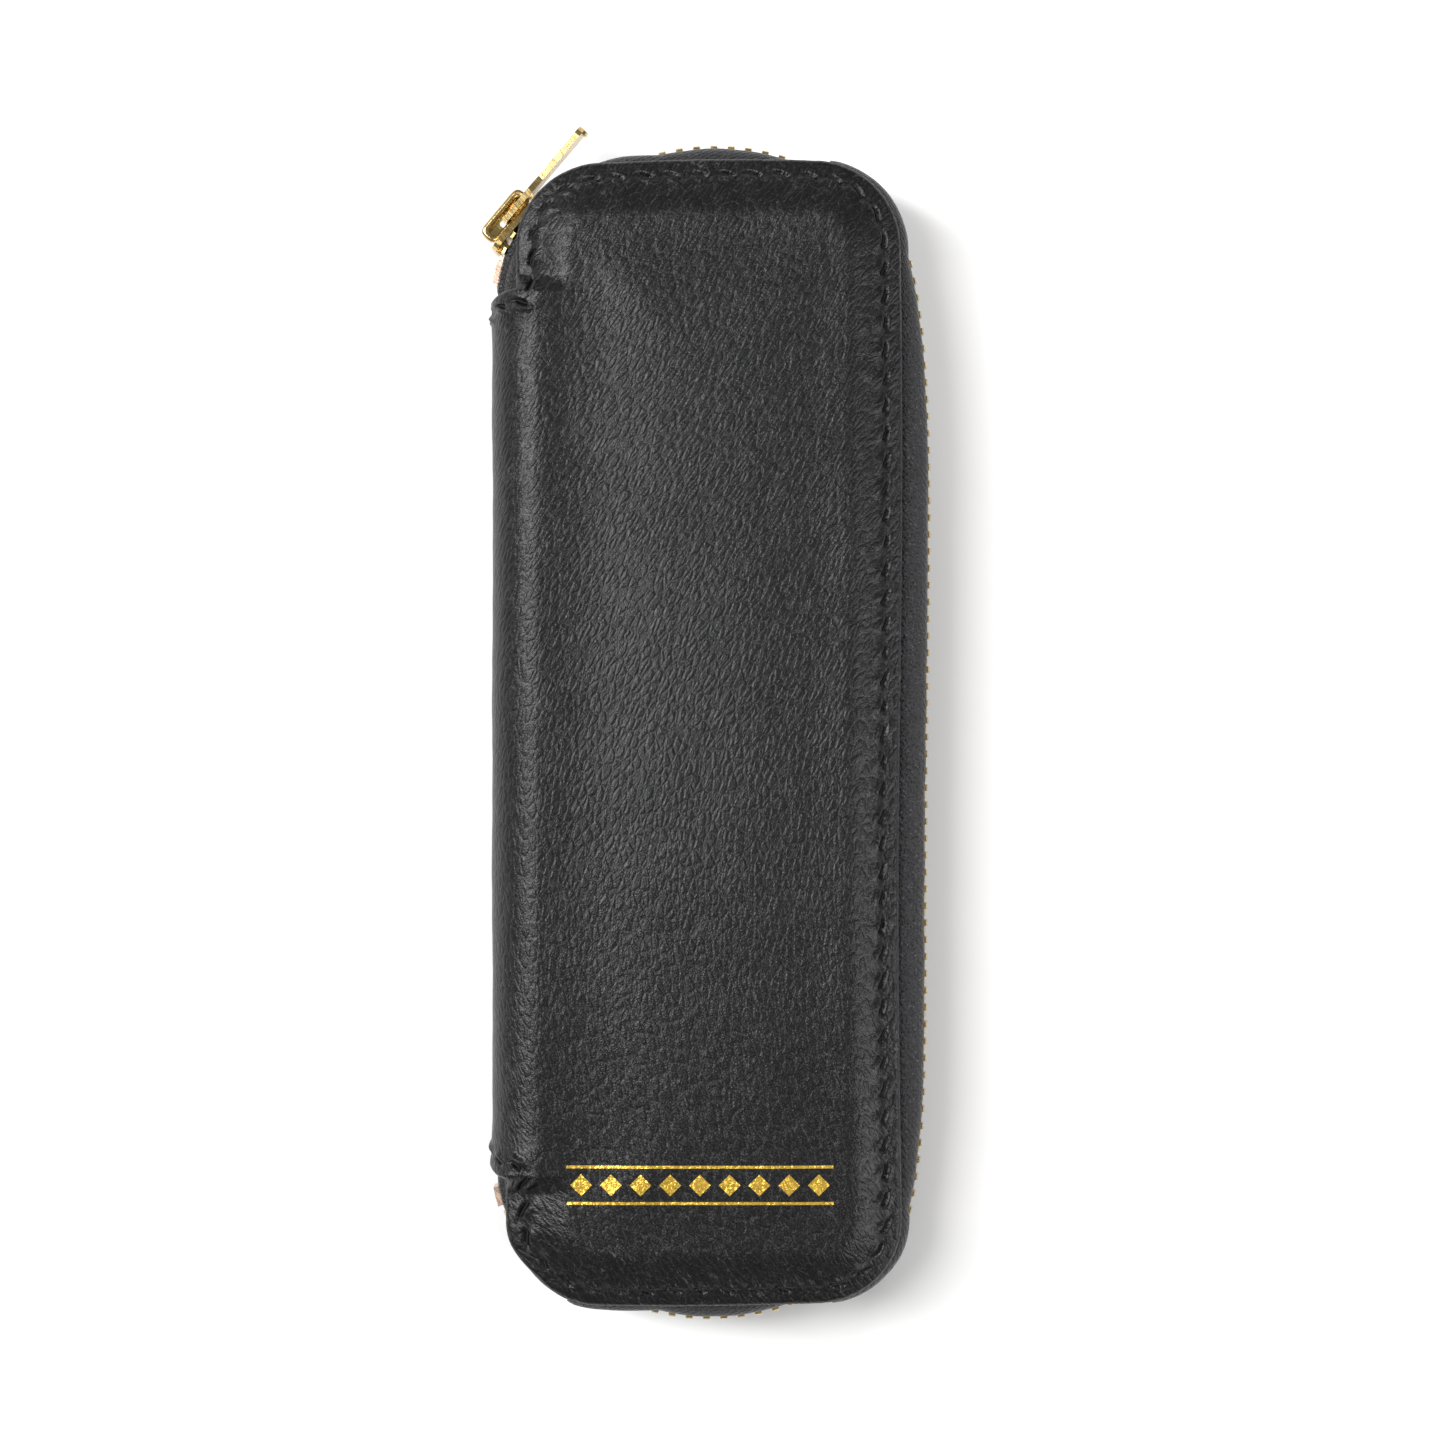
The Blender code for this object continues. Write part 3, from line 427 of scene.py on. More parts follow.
def rim_stations():
    """Rows of the upper half's rim: x, y, the way in, the width to the crown, edge share, free edge."""
    rows = []
    for y in np.concatenate([LEFT_ROWS, LOBE_ROWS]):
        share = smoothstep((y - LIFT[0]) / (LIFT[1] - LIFT[0]))
        free = smoothstep((y - NOTCH_Y) / 0.5)
        rows.append((LOBE_X, y, 1, 0, LOBE_RADIUS - CROWN_RADIUS, share, free))
    corners = ((LOBE, LOBE_RADIUS, 180, 90, 26), (FREE, FREE_RADIUS, 90, 0, 29))
    for centre, radius, first, last, steps in corners:
        if centre is FREE:
            for x in np.linspace(LOBE[0], FREE[0], 62)[1:-1]:
                t = (x - LOBE[0]) / (FREE[0] - LOBE[0])
                bow = end_bow(t)
                width = LOBE_RADIUS + (FREE_RADIUS - LOBE_RADIUS) * smoothstep(t) - CROWN_RADIUS
                rows.append((x, EDGE_Y + bow, 0, -1, width + bow, 1, 1))
        start = 1 if centre is LOBE else 0
        for x, y in arc(centre, radius, first, last, steps)[start:]:
            way = (centre - (x, y)) / radius
            rows.append((x, y, way[0], way[1], radius - CROWN_RADIUS, 1, 1))
    rows += [(EDGE_X, y, -1, 0, FREE_RADIUS - CROWN_RADIUS, 1, 1) for y in RIGHT_ROWS[::-1][1:]]
    upper = np.array(rows, float)
    lower = upper[1:-1][::-1] * (1, -1, 1, -1, 1, 1, 1)
    return np.vstack([upper, lower])


RINGS_BY_REACH = np.concatenate([[0, 0.12, 0.28, 0.5, 0.8, 1.1, 1.35], np.arange(1.55, 3.5, 0.13), [3.7]])
RINGS_BY_SHARE = np.linspace(0, 1, 10)[1:] ** 1.15
RINGS_TO_MIDDLE = (0.1, 0.28, 0.5, 0.75)


def edge_drop(fraction):
    """How far the leather has fallen, this fraction of the way from the crown to the rim."""
    smooth = (1 - np.cos(math.pi * fraction)) / 2
    return EDGE_DROP * (EDGE_ROUND * smooth + (1 - EDGE_ROUND) * fraction**2)


def on_roll(s):
    """Where leather laid flat at s lies on the case: x and z, round the roll and down the spine."""
    turn = np.clip((ROLL_X - s) / ROLL_RADIUS, 0, math.pi / 2)
    x = np.where(s > ROLL_X, s, ROLL_X - ROLL_RADIUS * np.sin(turn))
    down = np.clip(ROLL_X - ROLL_RADIUS * math.pi / 2 - s, 0, None)
    return x, THICKNESS - ROLL_RADIUS * (1 - np.cos(turn)) - down


def rounding(reach):
    """How far the turned edge of the leather curls down, this far in from it."""
    return CURL_DEPTH * (1 - np.clip(reach / CURL_REACH, 0, 1)) ** 2


def puffed(reach):
    """How far the leather has sunk from the padding's crown, this far in from the rim."""
    return PUFF_DEPTH * np.sin(math.pi * np.clip(reach / PUFF_REACH, 0, 1)) ** 2


def cover_surface():
    """Smooth outer surface of a cover and half the spine: flat places, points and faces."""
    rim = rim_stations()
    place, way, width, share, free = rim[:, :2], rim[:, 2:4], rim[:, 4], rim[:, 5], rim[:, 6]
    flat, solid = [], []
    start = RINGS_BY_REACH[-1]
    reaches = [np.full(len(rim), reach) for reach in RINGS_BY_REACH]
    reaches += [start + (width - start) * step for step in RINGS_BY_SHARE]
    for reach in reaches:
        plan = place + way * reach[:, None]
        fall = edge_drop(np.clip(1 - reach / width, 0, 1))
        x, z = on_roll(plan[:, 0])
        flat.append(plan)
        z = share * (THICKNESS - fall) + (1 - share) * z - rounding(reach) * free - puffed(reach)
        solid.append(np.column_stack([share * plan[:, 0] + (1 - share) * x, plan[:, 1], z]))
    crown = flat[-1]
    middle = np.column_stack([np.full(len(rim), MEDIAL[0]), np.clip(crown[:, 1], -MEDIAL[1], MEDIAL[1])])
    for step in (*RINGS_TO_MIDDLE, 1.0):
        plan = crown + (middle - crown) * step
        flat.append(plan)
        reach = width + np.linalg.norm(plan - crown, axis=1)
        solid.append(np.column_stack([plan, THICKNESS - puffed(reach)]))
    count = len(rim)
    ids = np.arange(len(flat) * count).reshape(len(flat), count)
    merged = {}
    for column, (x, y) in enumerate(np.round(middle, 3)):
        ids[-1, column] = merged.setdefault((x, y), ids[-1, column])
    ids = np.column_stack([ids, ids[:, 0]])
    faces = grid_faces(ids)
    flat, solid = np.vstack(flat), np.vstack(solid)
    left = np.concatenate([np.arange(count - len(LEFT_ROWS) + 1, count), np.arange(len(LEFT_ROWS))])
    columns = [left]
    spine_flat, spine_solid = [], []
    base = solid[left]
    dip = base - np.column_stack([*on_roll(flat[left, 0]), base[:, 1]])[:, [0, 2, 1]]
    for s in np.linspace(LOBE_X, SPINE_MIDDLE, 26)[1:]:
        end = spine_end(s)
        y = flat[left, 1] * end / NOTCH_Y
        x, z = on_roll(np.full(len(left), s))
        fade = 1 - smoothstep((LOBE_X - s) / 4)
        points = np.column_stack([x, y, z]) + dip * fade
        edge = rounding(end - np.abs(y)) * smoothstep((LOBE_X - s) / 1.0)
        turn = np.clip((ROLL_X - s) / ROLL_RADIUS, 0, math.pi / 2)
        points += np.column_stack([edge * math.sin(turn), edge * 0, -edge * math.cos(turn)])
        columns.append(np.arange(len(left)) + len(solid) + len(spine_flat) * len(left))
        spine_flat.append(np.column_stack([np.full(len(left), s), y]))
        spine_solid.append(points)
    faces += grid_faces(np.array(columns)[:, ::-1])
    used = np.zeros(len(solid) + len(spine_flat) * len(left), bool)
    used[np.concatenate([np.array(face) for face in faces])] = True
    renumber = np.cumsum(used) - 1
    faces = [[int(renumber[i]) for i in face] for face in faces]
    return np.vstack([flat, *spine_flat])[used], np.vstack([solid, *spine_solid])[used], faces


def seam_line():
    """The stitched line on the leather laid flat, from the spine's middle all the way round."""
    hem = [(s, spine_end(s) - HEM_INSET) for s in np.linspace(SPINE_MIDDLE, LOBE_X + 1.2, 20)]
    x = LOBE_X + SEAM_INSET
    turn = arc((x - 1.2, hem[-1][1] + 1.2), 1.2, -90, 0, 6)
    lobe = arc(LOBE, LOBE_RADIUS - SEAM_INSET, 180, 90, 24)
    steps = np.linspace(LOBE[0], FREE[0], 30)[1:-1]
    t = (steps - LOBE[0]) / (FREE[0] - LOBE[0])
    top = np.column_stack([steps, EDGE_Y - SEAM_INSET + end_bow(t)])
    free = arc(FREE, FREE_RADIUS - SEAM_INSET, 90, 0, 24)
    upper = np.vstack([hem, turn, lobe, top, free, [(EDGE_X - SEAM_INSET, 0)]])
    return np.vstack([upper, upper[:-1][::-1] * (1, -1)])


class Seam:
    """Places measured along and across the stitched line."""

    def __init__(self):
        self.points, self.marks, self.ways = resampled(seam_line(), 0.05)
        self.tree = kdtree.KDTree(len(self.points))
        for i, point in enumerate(self.points):
            self.tree.insert((*point, 0), i)
        self.tree.balance()
        self.count = int(self.marks[-1] / STITCH)
        self.pitch = self.marks[-1] / self.count
        self.slant = 0.4 + 0.1 * RANDOM.standard_normal(self.count)
        self.depth = 0.55 + 0.07 * RANDOM.standard_normal(self.count)
        self.half = 0.95 + 0.13 * RANDOM.standard_normal(self.count)
        self.side = 0.06 * RANDOM.standard_normal(self.count)

    def measure(self, flat):
        """Distance along the line, and distance in from it, of places on the leather laid flat."""
        found = [self.tree.find((*point, 0))[1] for point in flat]
        offset = flat - self.points[found]
        ways = self.ways[found]
        across = offset[:, 1] * -ways[:, 0] + offset[:, 0] * ways[:, 1]
        reach = np.linalg.norm(offset, axis=1)
        return self.marks[found], np.where(across < 0, -reach, reach)

    def stitch(self, along):
        """The stitch's number and the distance from its middle."""
        number = np.clip((along / self.pitch).astype(int), 0, self.count - 1)
        return number, along - (number + 0.5) * self.pitch

    def line(self, number, run):
        """How far in from the seam the thread of a stitch lies."""
        return run * self.slant[number] + self.side[number]

    def relief(self, along, across):
        """Height of the leather near the seam, and how deep in a slit it is from 0 to 1, with a little along
        the seam's groove; the material paints this as shade.
        """
        number, run = self.stitch(along)
        beside = across - self.line(number, run)
        window = smoothstep((self.half[number] - np.abs(run)) / 0.4 + 0.6)
        width = 0.3 + 0.12 * run / self.half[number]
        slit = np.exp(-((beside / width) ** 2)) * window
        swell = np.cos(run * math.pi / self.pitch) ** 2
        puff = np.exp(-(((beside - 0.78) / 0.42) ** 2)) * swell
        lip = np.exp(-(((beside + 0.6) / 0.32) ** 2)) * swell
        groove = np.exp(-((across / 0.24) ** 2))
        pinch = np.exp(-((across / 0.9) ** 2))
        height = -self.depth[number] * slit - 0.05 * groove - 0.16 * pinch + 0.48 * puff + 0.14 * lip
        return height, np.clip(slit * 1.3 + 0.15 * groove, 0, 1)


SEAM = Seam()
LOBE_SAG = np.array([-29.0, -71.5])  # the corner whose leather spreads out over the zip
SAG, SAG_SIZE = 1.5, (5.5, 9)  # how far it spreads, and over what width and length
SIDE_WANDER, END_WANDER = 0.28, 0.25  # how far the free edge and the ends stray


def settled(points):
    """The same places after use: the edges wander a little, as on any soft case."""
    moved = np.array(points, float)
    x, y = moved[:, 0], moved[:, 1]
    side = smoothstep((x - 5) / 20)
    end = smoothstep((np.abs(y) - 70) / 12)
    moved[:, 0] += side * (SIDE_WANDER * np.sin(y / 21 - 0.35) - 0.05)
    moved[:, 1] += END_WANDER * np.sin(x / 17 + 0.6) * end
    return moved


def spread(points):
    """The lower spine-side corner's leather, which lies further out than the others."""
    moved = settled(points)
    reach = np.linalg.norm((moved[:, :2] - LOBE_SAG) / SAG_SIZE, axis=1)
    moved[:, 0] -= SAG * smoothstep(1.3 - reach)
    return moved


def leather_relief(flat, solid):
    """Height of the leather's surface above the smooth shape, and the depth in the stitches' slits, which the
    material paints as shade.
    """
    along, across = SEAM.measure(flat)
    height, depth = SEAM.relief(along, across)
    flange = smoothstep(-across / 0.8) * smoothstep((4 + across) / 1.5)
    pebbled = smoothstep((across - 1) / 5)
    height = height - 0.13 * (1 + noise_at(solid, 13.0, 3.1)) * pebbled
    height = height - 0.06 * (1 + noise_at(solid, 4.0, 8.3)) * smoothstep((across - 0.6) / 2)
    ripple = noise_at(np.column_stack([along * 1.5, across * 0.5, along * 0]), 1.1, 5.2)
    return height + 0.05 * ripple * flange, depth


GRAIN_LEAN = ((-90, -0.62), (-58, -0.5), (-28, -0.05), (5, 0.35), (35, 0.6), (90, 0.66))


def drift(y):
    """How far the hide's creases have wandered sideways at y. They lean as GRAIN_LEAN says: y, slope."""
    places = np.arange(-90, 91)
    slopes = np.interp(places, *zip(*GRAIN_LEAN))
    return np.interp(y, places, np.cumsum(slopes))


def leather_skins(material):
    flat, solid, faces = cover_surface()
    faces, normals = facing_up(solid, faces)
    height, depth = leather_relief(flat, solid)
    outer = solid + normals * height[:, None]
    inner = solid - normals * LEATHER
    points, closed = thickened(outer, inner, faces)
    points = spread(points)
    skins = []
    for side, shape in (("front", points), ("back", flipped(points))):
        front = side == "front"
        layer = 1.0 if front else 0.0
        across = flat[:, 0] if front else 2 * SPINE_MIDDLE - flat[:, 0]
        grain = np.column_stack([across, flat[:, 1], np.full(len(flat), layer)])
        flow = grain - np.column_stack([drift(flat[:, 1]), grain[:, 1] * 0, grain[:, 1] * 0])
        attributes = {"grain": np.tile(grain, (2, 1)), "flow": np.tile(flow, (2, 1))}
        # depth darkens the leather in the stitches' slits as painted shade.
        attributes["depth"] = np.tile(depth, 2)
        turned = closed if front else [face[::-1] for face in closed]
        skin = object_of(f"leather_skin_{side}", shape, turned, material, 75, attributes)
        fold_with_leather(skin, side)
        skins.append(skin)
    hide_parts("leather_front", "leather_spine")
    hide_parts("leather_back", "leather_spine")
    return skins, (flat, outer, normals, faces)


def across_fold(obj, side):
    """Bakes the piece's placement into its mesh."""
    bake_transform(obj)


def fold_with_leather(obj, side):
    across_fold(obj, side)


def fold_with_tape(obj, side):
    across_fold(obj, side)


def fold_with_teeth(obj, side):
    """Bakes the teeth's placement into their mesh."""
    across_fold(obj, side)


# ---------------------------------------------------------------- thread


class Atlas:
    """Finds the point on the leather over a place on the leather laid flat."""

    def __init__(self, flat, solid, normals, faces):
        self.faces = [f[:3] for f in faces] + [[f[0], f[2], f[3]] for f in faces if len(f) == 4]
        self.flat = [Vector((*p, 0)) for p in flat]
        self.solid = [Vector(p) for p in spread(solid)]
        self.normals = [Vector(n) for n in normals]
        self.tree = BVHTree.FromPolygons(self.flat, self.faces)

    def at(self, s, y):
        hit, _, index, _ = self.tree.find_nearest((s, y, 0))
        corners = self.faces[index]
        flat = [self.flat[i] for i in corners]
        point = barycentric_transform(hit, *flat, *[self.solid[i] for i in corners])
        normal = barycentric_transform(hit, *flat, *[self.normals[i] for i in corners])
        return np.array(point), np.array(normal.normalized())


THREAD_RUN = np.linspace(-1, 1, 9)
THREAD_SIDES = 8


def seam_threads(atlas, material):
    """One short bowed thread in each slit, its ends going down into the leather."""
    points, faces, grain = [], [], []
    for number in range(SEAM.count):
        middle = (number + 0.5) * SEAM.pitch
        runs = THREAD_RUN * (SEAM.half[number] + 0.25)
        centres, normals = [], []
        for run in runs:
            i = int(np.searchsorted(SEAM.marks, middle + run).clip(0, len(SEAM.marks) - 1))
            way = SEAM.ways[i]
            inward = SEAM.line(number, run)
            place = SEAM.points[i] + inward * np.array([way[1], -way[0]])
            point, normal = atlas.at(*place)
            centres.append(point)
            normals.append(normal)
        centres, normals = np.array(centres), np.array(normals)
        sink = 0.10 - 0.55 * np.abs(THREAD_RUN) ** 4
        centres = centres + normals * sink[:, None]
        along = np.gradient(centres, axis=0)
        along /= np.linalg.norm(along, axis=1)[:, None]
        side = np.cross(along, normals)
        radii = THREAD_RADIUS * np.sqrt(np.clip(1.04 - np.abs(THREAD_RUN) ** 6, 0.05, 1))
        first = len(points) and sum(len(p) for p in points)
        for k, angle in enumerate(np.arange(THREAD_SIDES) * 2 * math.pi / THREAD_SIDES):
            ring = centres + radii[:, None] * (math.cos(angle) * side + math.sin(angle) * normals)
            points.append(ring)
            turn = np.full(len(runs), k * THREAD_RADIUS * 0.8)
            grain.append(np.column_stack([middle + runs, turn, runs * 0]))
        ids = first + np.arange(THREAD_SIDES * len(runs)).reshape(THREAD_SIDES, len(runs))
        faces += [face[::-1] for face in grid_faces(np.vstack([ids, ids[:1]]))]
        faces += [list(ids[:, 0]), list(ids[::-1, -1])]
    points, grain = np.vstack(points), np.vstack(grain)
    for side, thread in both_halves("seam_thread", points, faces, material, 80, {"grain": grain}):
        fold_with_leather(thread, side)
        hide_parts(f"stitching_{side}", "spine_stitching_top", "spine_stitching_bottom")


# ---------------------------------------------------------------- zip


def hermite(start, start_way, end, end_way, steps=24):
    reach = np.linalg.norm(end - start)
    t = np.linspace(0, 1, steps + 1)[:, None]
    near = (2 * t**3 - 3 * t**2 + 1) * start + (t**3 - 2 * t**2 + t) * reach * start_way
    return near + (3 * t**2 - 2 * t**3) * end + (t**3 - t**2) * reach * end_way


def unit(vector):
    return vector / np.linalg.norm(vector)


def chain_line():
    """Plan of the chain, from its end beside the slider round to its other end."""
    first = arc(CORNER, CORNER_RADIUS, CHAIN_FIRST, CHAIN_LAST, 60)
    last = arc(FREE_CORNER, FREE_CHAIN_RADIUS, 80, 10, 60)
    top, along = np.array([0.0, CHAIN_TOP_Y]), np.array([1.0, 0.0])
    rise = hermite(first[-1], CHAIN_RISE, top, along)
    fall = hermite(top, along, last[0], CHAIN_RISE * (1, -1))
    t = np.linspace(1, 0, 40)[1:]
    bow = CHAIN_EDGE_X - last[-1][0]
    side = np.column_stack([last[-1][0] + bow * (1 - t**6), last[-1][1] * t])
    upper = np.vstack([first, rise[1:], fall[1:], last[1:], side])
    return np.vstack([upper, upper[:-1][::-1] * (1, -1)])


class Chain:
    """The zip's plan by distance along it, and the line where its tape is sewn in."""

    def __init__(self):
        self.points, self.marks, self.ways = resampled(chain_line(), 0.1)
        self.length = self.marks[-1]
        rim = rim_stations()
        upper = rim[len(LEFT_ROWS) + 1 : np.argmin(np.abs(rim[:, 1]) + (rim[:, 0] < 0) * 99) + 1]
        sewn = upper[:, :2] + upper[:, 2:4] * TAPE_INSET
        self.sewn, self.sewn_marks, _ = resampled(sewn, 0.1)
        x, y = self.sewn.T
        sewn_tests = (x + y > LOBE_X + EDGE_Y - 7, x > -1, y < x + EDGE_Y - EDGE_X)
        legs = [0] + [np.argmax(test) for test in sewn_tests]
        x, y = self.points.T
        halves = (y - CORNER[1] > CORNER[0] - x, x >= 0, (x > 0) & (x - FREE_CORNER[0] > y - FREE_CORNER[1]))
        marks = [0] + [self.marks[np.argmax(test)] for test in halves] + [self.length / 2]
        self.legs = (marks, [self.sewn_marks[i] for i in legs] + [self.sewn_marks[-1]])

    def at(self, distance):
        """Places and outward directions at distances along the chain."""
        place = interpolated(distance, self.marks, self.points)
        way = interpolated(distance, self.marks, self.ways)
        normal = np.column_stack([-way[:, 1], way[:, 0]])
        beyond = (distance - np.clip(distance, 0, self.length))[:, None]
        return place + way * beyond - normal * np.abs(beyond) * TUCK, normal

    def sewn_at(self, distance):
        mirror = distance > self.length / 2
        upper = np.where(mirror, self.length - distance, distance)
        marks = np.interp(upper, *self.legs)
        place = interpolated(marks, self.sewn_marks, self.sewn)
        place[mirror, 1] *= -1
        return place


CHAIN = Chain()


def corner_distance(angle):
    return (CHAIN_FIRST - angle) * math.radians(1) * CORNER_RADIUS


def parted(distance):
    """How far the slider's wedge lifts one half of the zip off the middle."""
    first, last = corner_distance(PARTED_FROM), corner_distance(PARTED_TO)
    return PARTED * np.clip((last - distance) / (last - first), 0, 1)


CORD = (0.34, 0.48, 0.42)  # half the tape's thickness in the last rows, where its edge is corded
TAPE_SLACK = 0.12  # how far its surface wanders


def curve(start, turn, end, t):
    """Points on a quadratic curve."""
    return (1 - t) ** 2 * start + 2 * t * (1 - t) * turn + t**2 * end


def tape_section():
    """Rows of the tape's middle line: shares of the seam, the knee and the foot in its plan, and height."""
    seam, knee = np.array([1, 0, 0, TAPE_SEAM]), np.array([0, 1, 0, TAPE_KNEE])
    bend = np.array([0, 0, 1, TAPE_BEND])
    over = curve(seam, np.array([0.1, 0.9, 0, TAPE_SEAM]), knee, np.linspace(0, 1, 8)[:, None])
    under = curve(knee, np.array([0, 0.9, 0.1, TAPE_BEND]), bend, np.linspace(0, 1, 6)[1:, None])
    foot = [(0, 0, 1, height) for height in np.linspace(TAPE_BEND, TAPE_FOOT, 4)[1:]]
    return np.vstack([over, under, foot])


def zip_tapes(material):
    distances = np.linspace(-TAPE_TAIL, CHAIN.length + TAPE_TAIL, int(CHAIN.length / 0.8))
    foot, normal = CHAIN.at(distances)
    sewn = CHAIN.sewn_at(distances)
    rim_reach = np.sum((sewn - foot) * normal, axis=1) + TAPE_INSET
    past_slider = (distances - CLEAR_OF_SLIDER[0]) / (CLEAR_OF_SLIDER[1] - CLEAR_OF_SLIDER[0])
    before_end = (CHAIN.length - distances - CLEAR_OF_END[0]) / (CLEAR_OF_END[1] - CLEAR_OF_END[0])
    clear = smoothstep(np.minimum(past_slider, before_end))
    bulge = TAPE_BULGE[0] + (TAPE_BULGE[1] - TAPE_BULGE[0]) * np.abs(normal[:, 1])
    bulge = TAPE_TUCKED + (bulge - TAPE_TUCKED) * clear
    margin = (TAPE_MARGIN + TAPE_WITHIN) * clear - TAPE_WITHIN
    knee = foot + normal * np.maximum(bulge, rim_reach + margin)[:, None]
    line = tape_section()
    rise = parted(distances)
    sheet = np.zeros((len(line), len(distances), 3))
    for row, (at_seam, at_knee, at_foot, height) in enumerate(line):
        raised = (TAPE_SEAM - height) / (TAPE_SEAM - TAPE_FOOT)
        sheet[row, :, :2] = sewn * at_seam + knee * at_knee + foot * at_foot
        sheet[row, :, 2] = MID_Z + height + rise * raised
    slack = TAPE_SLACK * noise_at(np.column_stack([distances, distances * 0, distances * 0]), 5.0, 2.2)
    belly = np.sin(np.linspace(0, math.pi, len(line))) ** 2
    sheet[:, :, :2] += (belly[:, None] * slack)[:, :, None] * normal
    sheet[:, :, 2] += belly[:, None] * slack
    centre = sheet.reshape(-1, 3)
    ids = np.arange(len(centre)).reshape(len(line), -1)
    faces, normals = facing_up(centre, grid_faces(ids), ids[0])
    half = np.full(len(line), TAPE / 2)
    half[-len(CORD):] = CORD
    half = np.repeat(half, len(distances))[:, None]
    points, closed = thickened(centre + normals * half, centre - normals * half, faces)
    middle = len(distances) // 2
    run = distances_along(sheet[:, middle])
    grain = np.column_stack([np.tile(distances, len(line)), np.repeat(run, len(distances)), centre[:, 2] * 0])
    points = settled(points)
    attributes = {"grain": np.tile(grain, (2, 1))}
    for side, tape in both_halves("zip_tape", points, closed, material, 70, attributes):
        fold_with_tape(tape, side)
        ends = [f"zip_tape_end_{end}_{side}" for end in ("top", "bottom")]
        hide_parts(f"zip_tape_main_{side}", *ends)


TOOTH_OUTLINE = (
    (0.0, -0.85), (0.62, -0.8), (0.95, -0.3), (1.18, 1.0), (1.24, 2.9), (1.05, 3.35), (0.62, 3.4),
    (0.55, 2.2), (0.3, 1.95), (0.0, 1.9),
)  # half of a tooth seen along the chain: outwards, up from the chain's middle
TOOTH_SLICES = ((-0.56, 0.84), (-0.46, 1.0), (0.46, 1.0), (0.56, 0.84))  # place along, size


def tooth_at(distance):
    """Points of one tooth, clamped round the tape's corded edge."""
    half = np.array(TOOTH_OUTLINE)
    outline = np.vstack([half, half[1:-1][::-1] * (-1, 1)])
    middle = np.array([0.0, 1.2])
    rings = []
    for along, size in TOOTH_SLICES:
        place, normal = CHAIN.at(np.array([distance + along]))
        shape = middle + (outline - middle) * size
        plan = place + normal * shape[:, :1]
        rings.append(np.column_stack([plan, MID_Z + shape[:, 1] + parted(distance)]))
    return np.array(rings)


def loft_faces(first, rows, columns):
    """Faces of a closed loft of rings with an end cap on each end."""
    ids = first + np.arange(rows * columns).reshape(rows, columns)
    faces = grid_faces(np.column_stack([ids, ids[:, 0]]))
    return faces + [list(ids[0][::-1]), list(ids[-1])]


def outward(obj):
    """Turns every face of a closed piece to the outside."""
    bm = bmesh.new()
    bm.from_mesh(obj.data)
    bmesh.ops.recalc_face_normals(bm, faces=bm.faces)
    bm.to_mesh(obj.data)
    bm.free()
    return obj


def zip_teeth(material):
    first, last = corner_distance(TEETH_FROM), CHAIN.length - TEETH_SHORT
    for side, phase in (("front", 0.5), ("back", 1.0)):
        points, faces, count = [], [], 0
        for distance in np.arange(first + PITCH * phase, last, PITCH):
            rings = tooth_at(distance)
            rows, columns = rings.shape[:2]
            faces += loft_faces(count, rows, columns)
            points.append(rings.reshape(-1, 3))
            count += rows * columns
        points = settled(np.vstack(points))
        points = points if side == "front" else flipped(points)
        teeth = outward(object_of(f"zip_teeth_{side}", points, faces, material, 40))
        fold_with_teeth(teeth, side)
        ends = [f"zip_teeth_end_{end}_{side}" for end in ("top", "bottom")]
        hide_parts(f"zip_teeth_main_{side}", *ends)


# ---------------------------------------------------------------- slider

SLIDER_ANGLE = 140.0
CROWN_X, CROWN_TOP, CROWN_FOOT, CROWN_HALF = 4.5, 20.9, 17.85, 1.3
CROWN_WALL, CROWN_CORNER, CROWN_PANEL = 0.85, 1.2, (0.55, 0.9)
CROWN_SOFT = 0.22  # rounding of the edges between its faces
CROWN_SLOT = (-0.3, 18.85, 1.35, 0.6)  # middle along and out, half its length and height


def slider_place(points):
    """Points in the slider's frame (along the chain, outwards, up) to the row frame."""
    turn = math.radians(SLIDER_ANGLE - 90)
    along, out = np.array([math.cos(turn), math.sin(turn)]), np.array([-math.sin(turn), math.cos(turn)])
    plan = CORNER + points[:, :1] * along + points[:, 1:2] * out
    return np.column_stack([plan, MID_Z + points[:, 2]])


def rounded_box(low_x, high_x, low_y, high_y, corner, steps=6):
    """A rectangle with rounded corners, the same number of points at any size, counter-clockwise."""
    places = ((high_x, high_y, 0), (low_x, high_y, 90), (low_x, low_y, 180), (high_x, low_y, 270))
    runs = []
    for x, y, first in places:
        centre = (x - corner if x == high_x else x + corner, y - corner if y == high_y else y + corner)
        runs.append(arc(centre, corner, first, first + 90, steps))
    return np.vstack(runs)


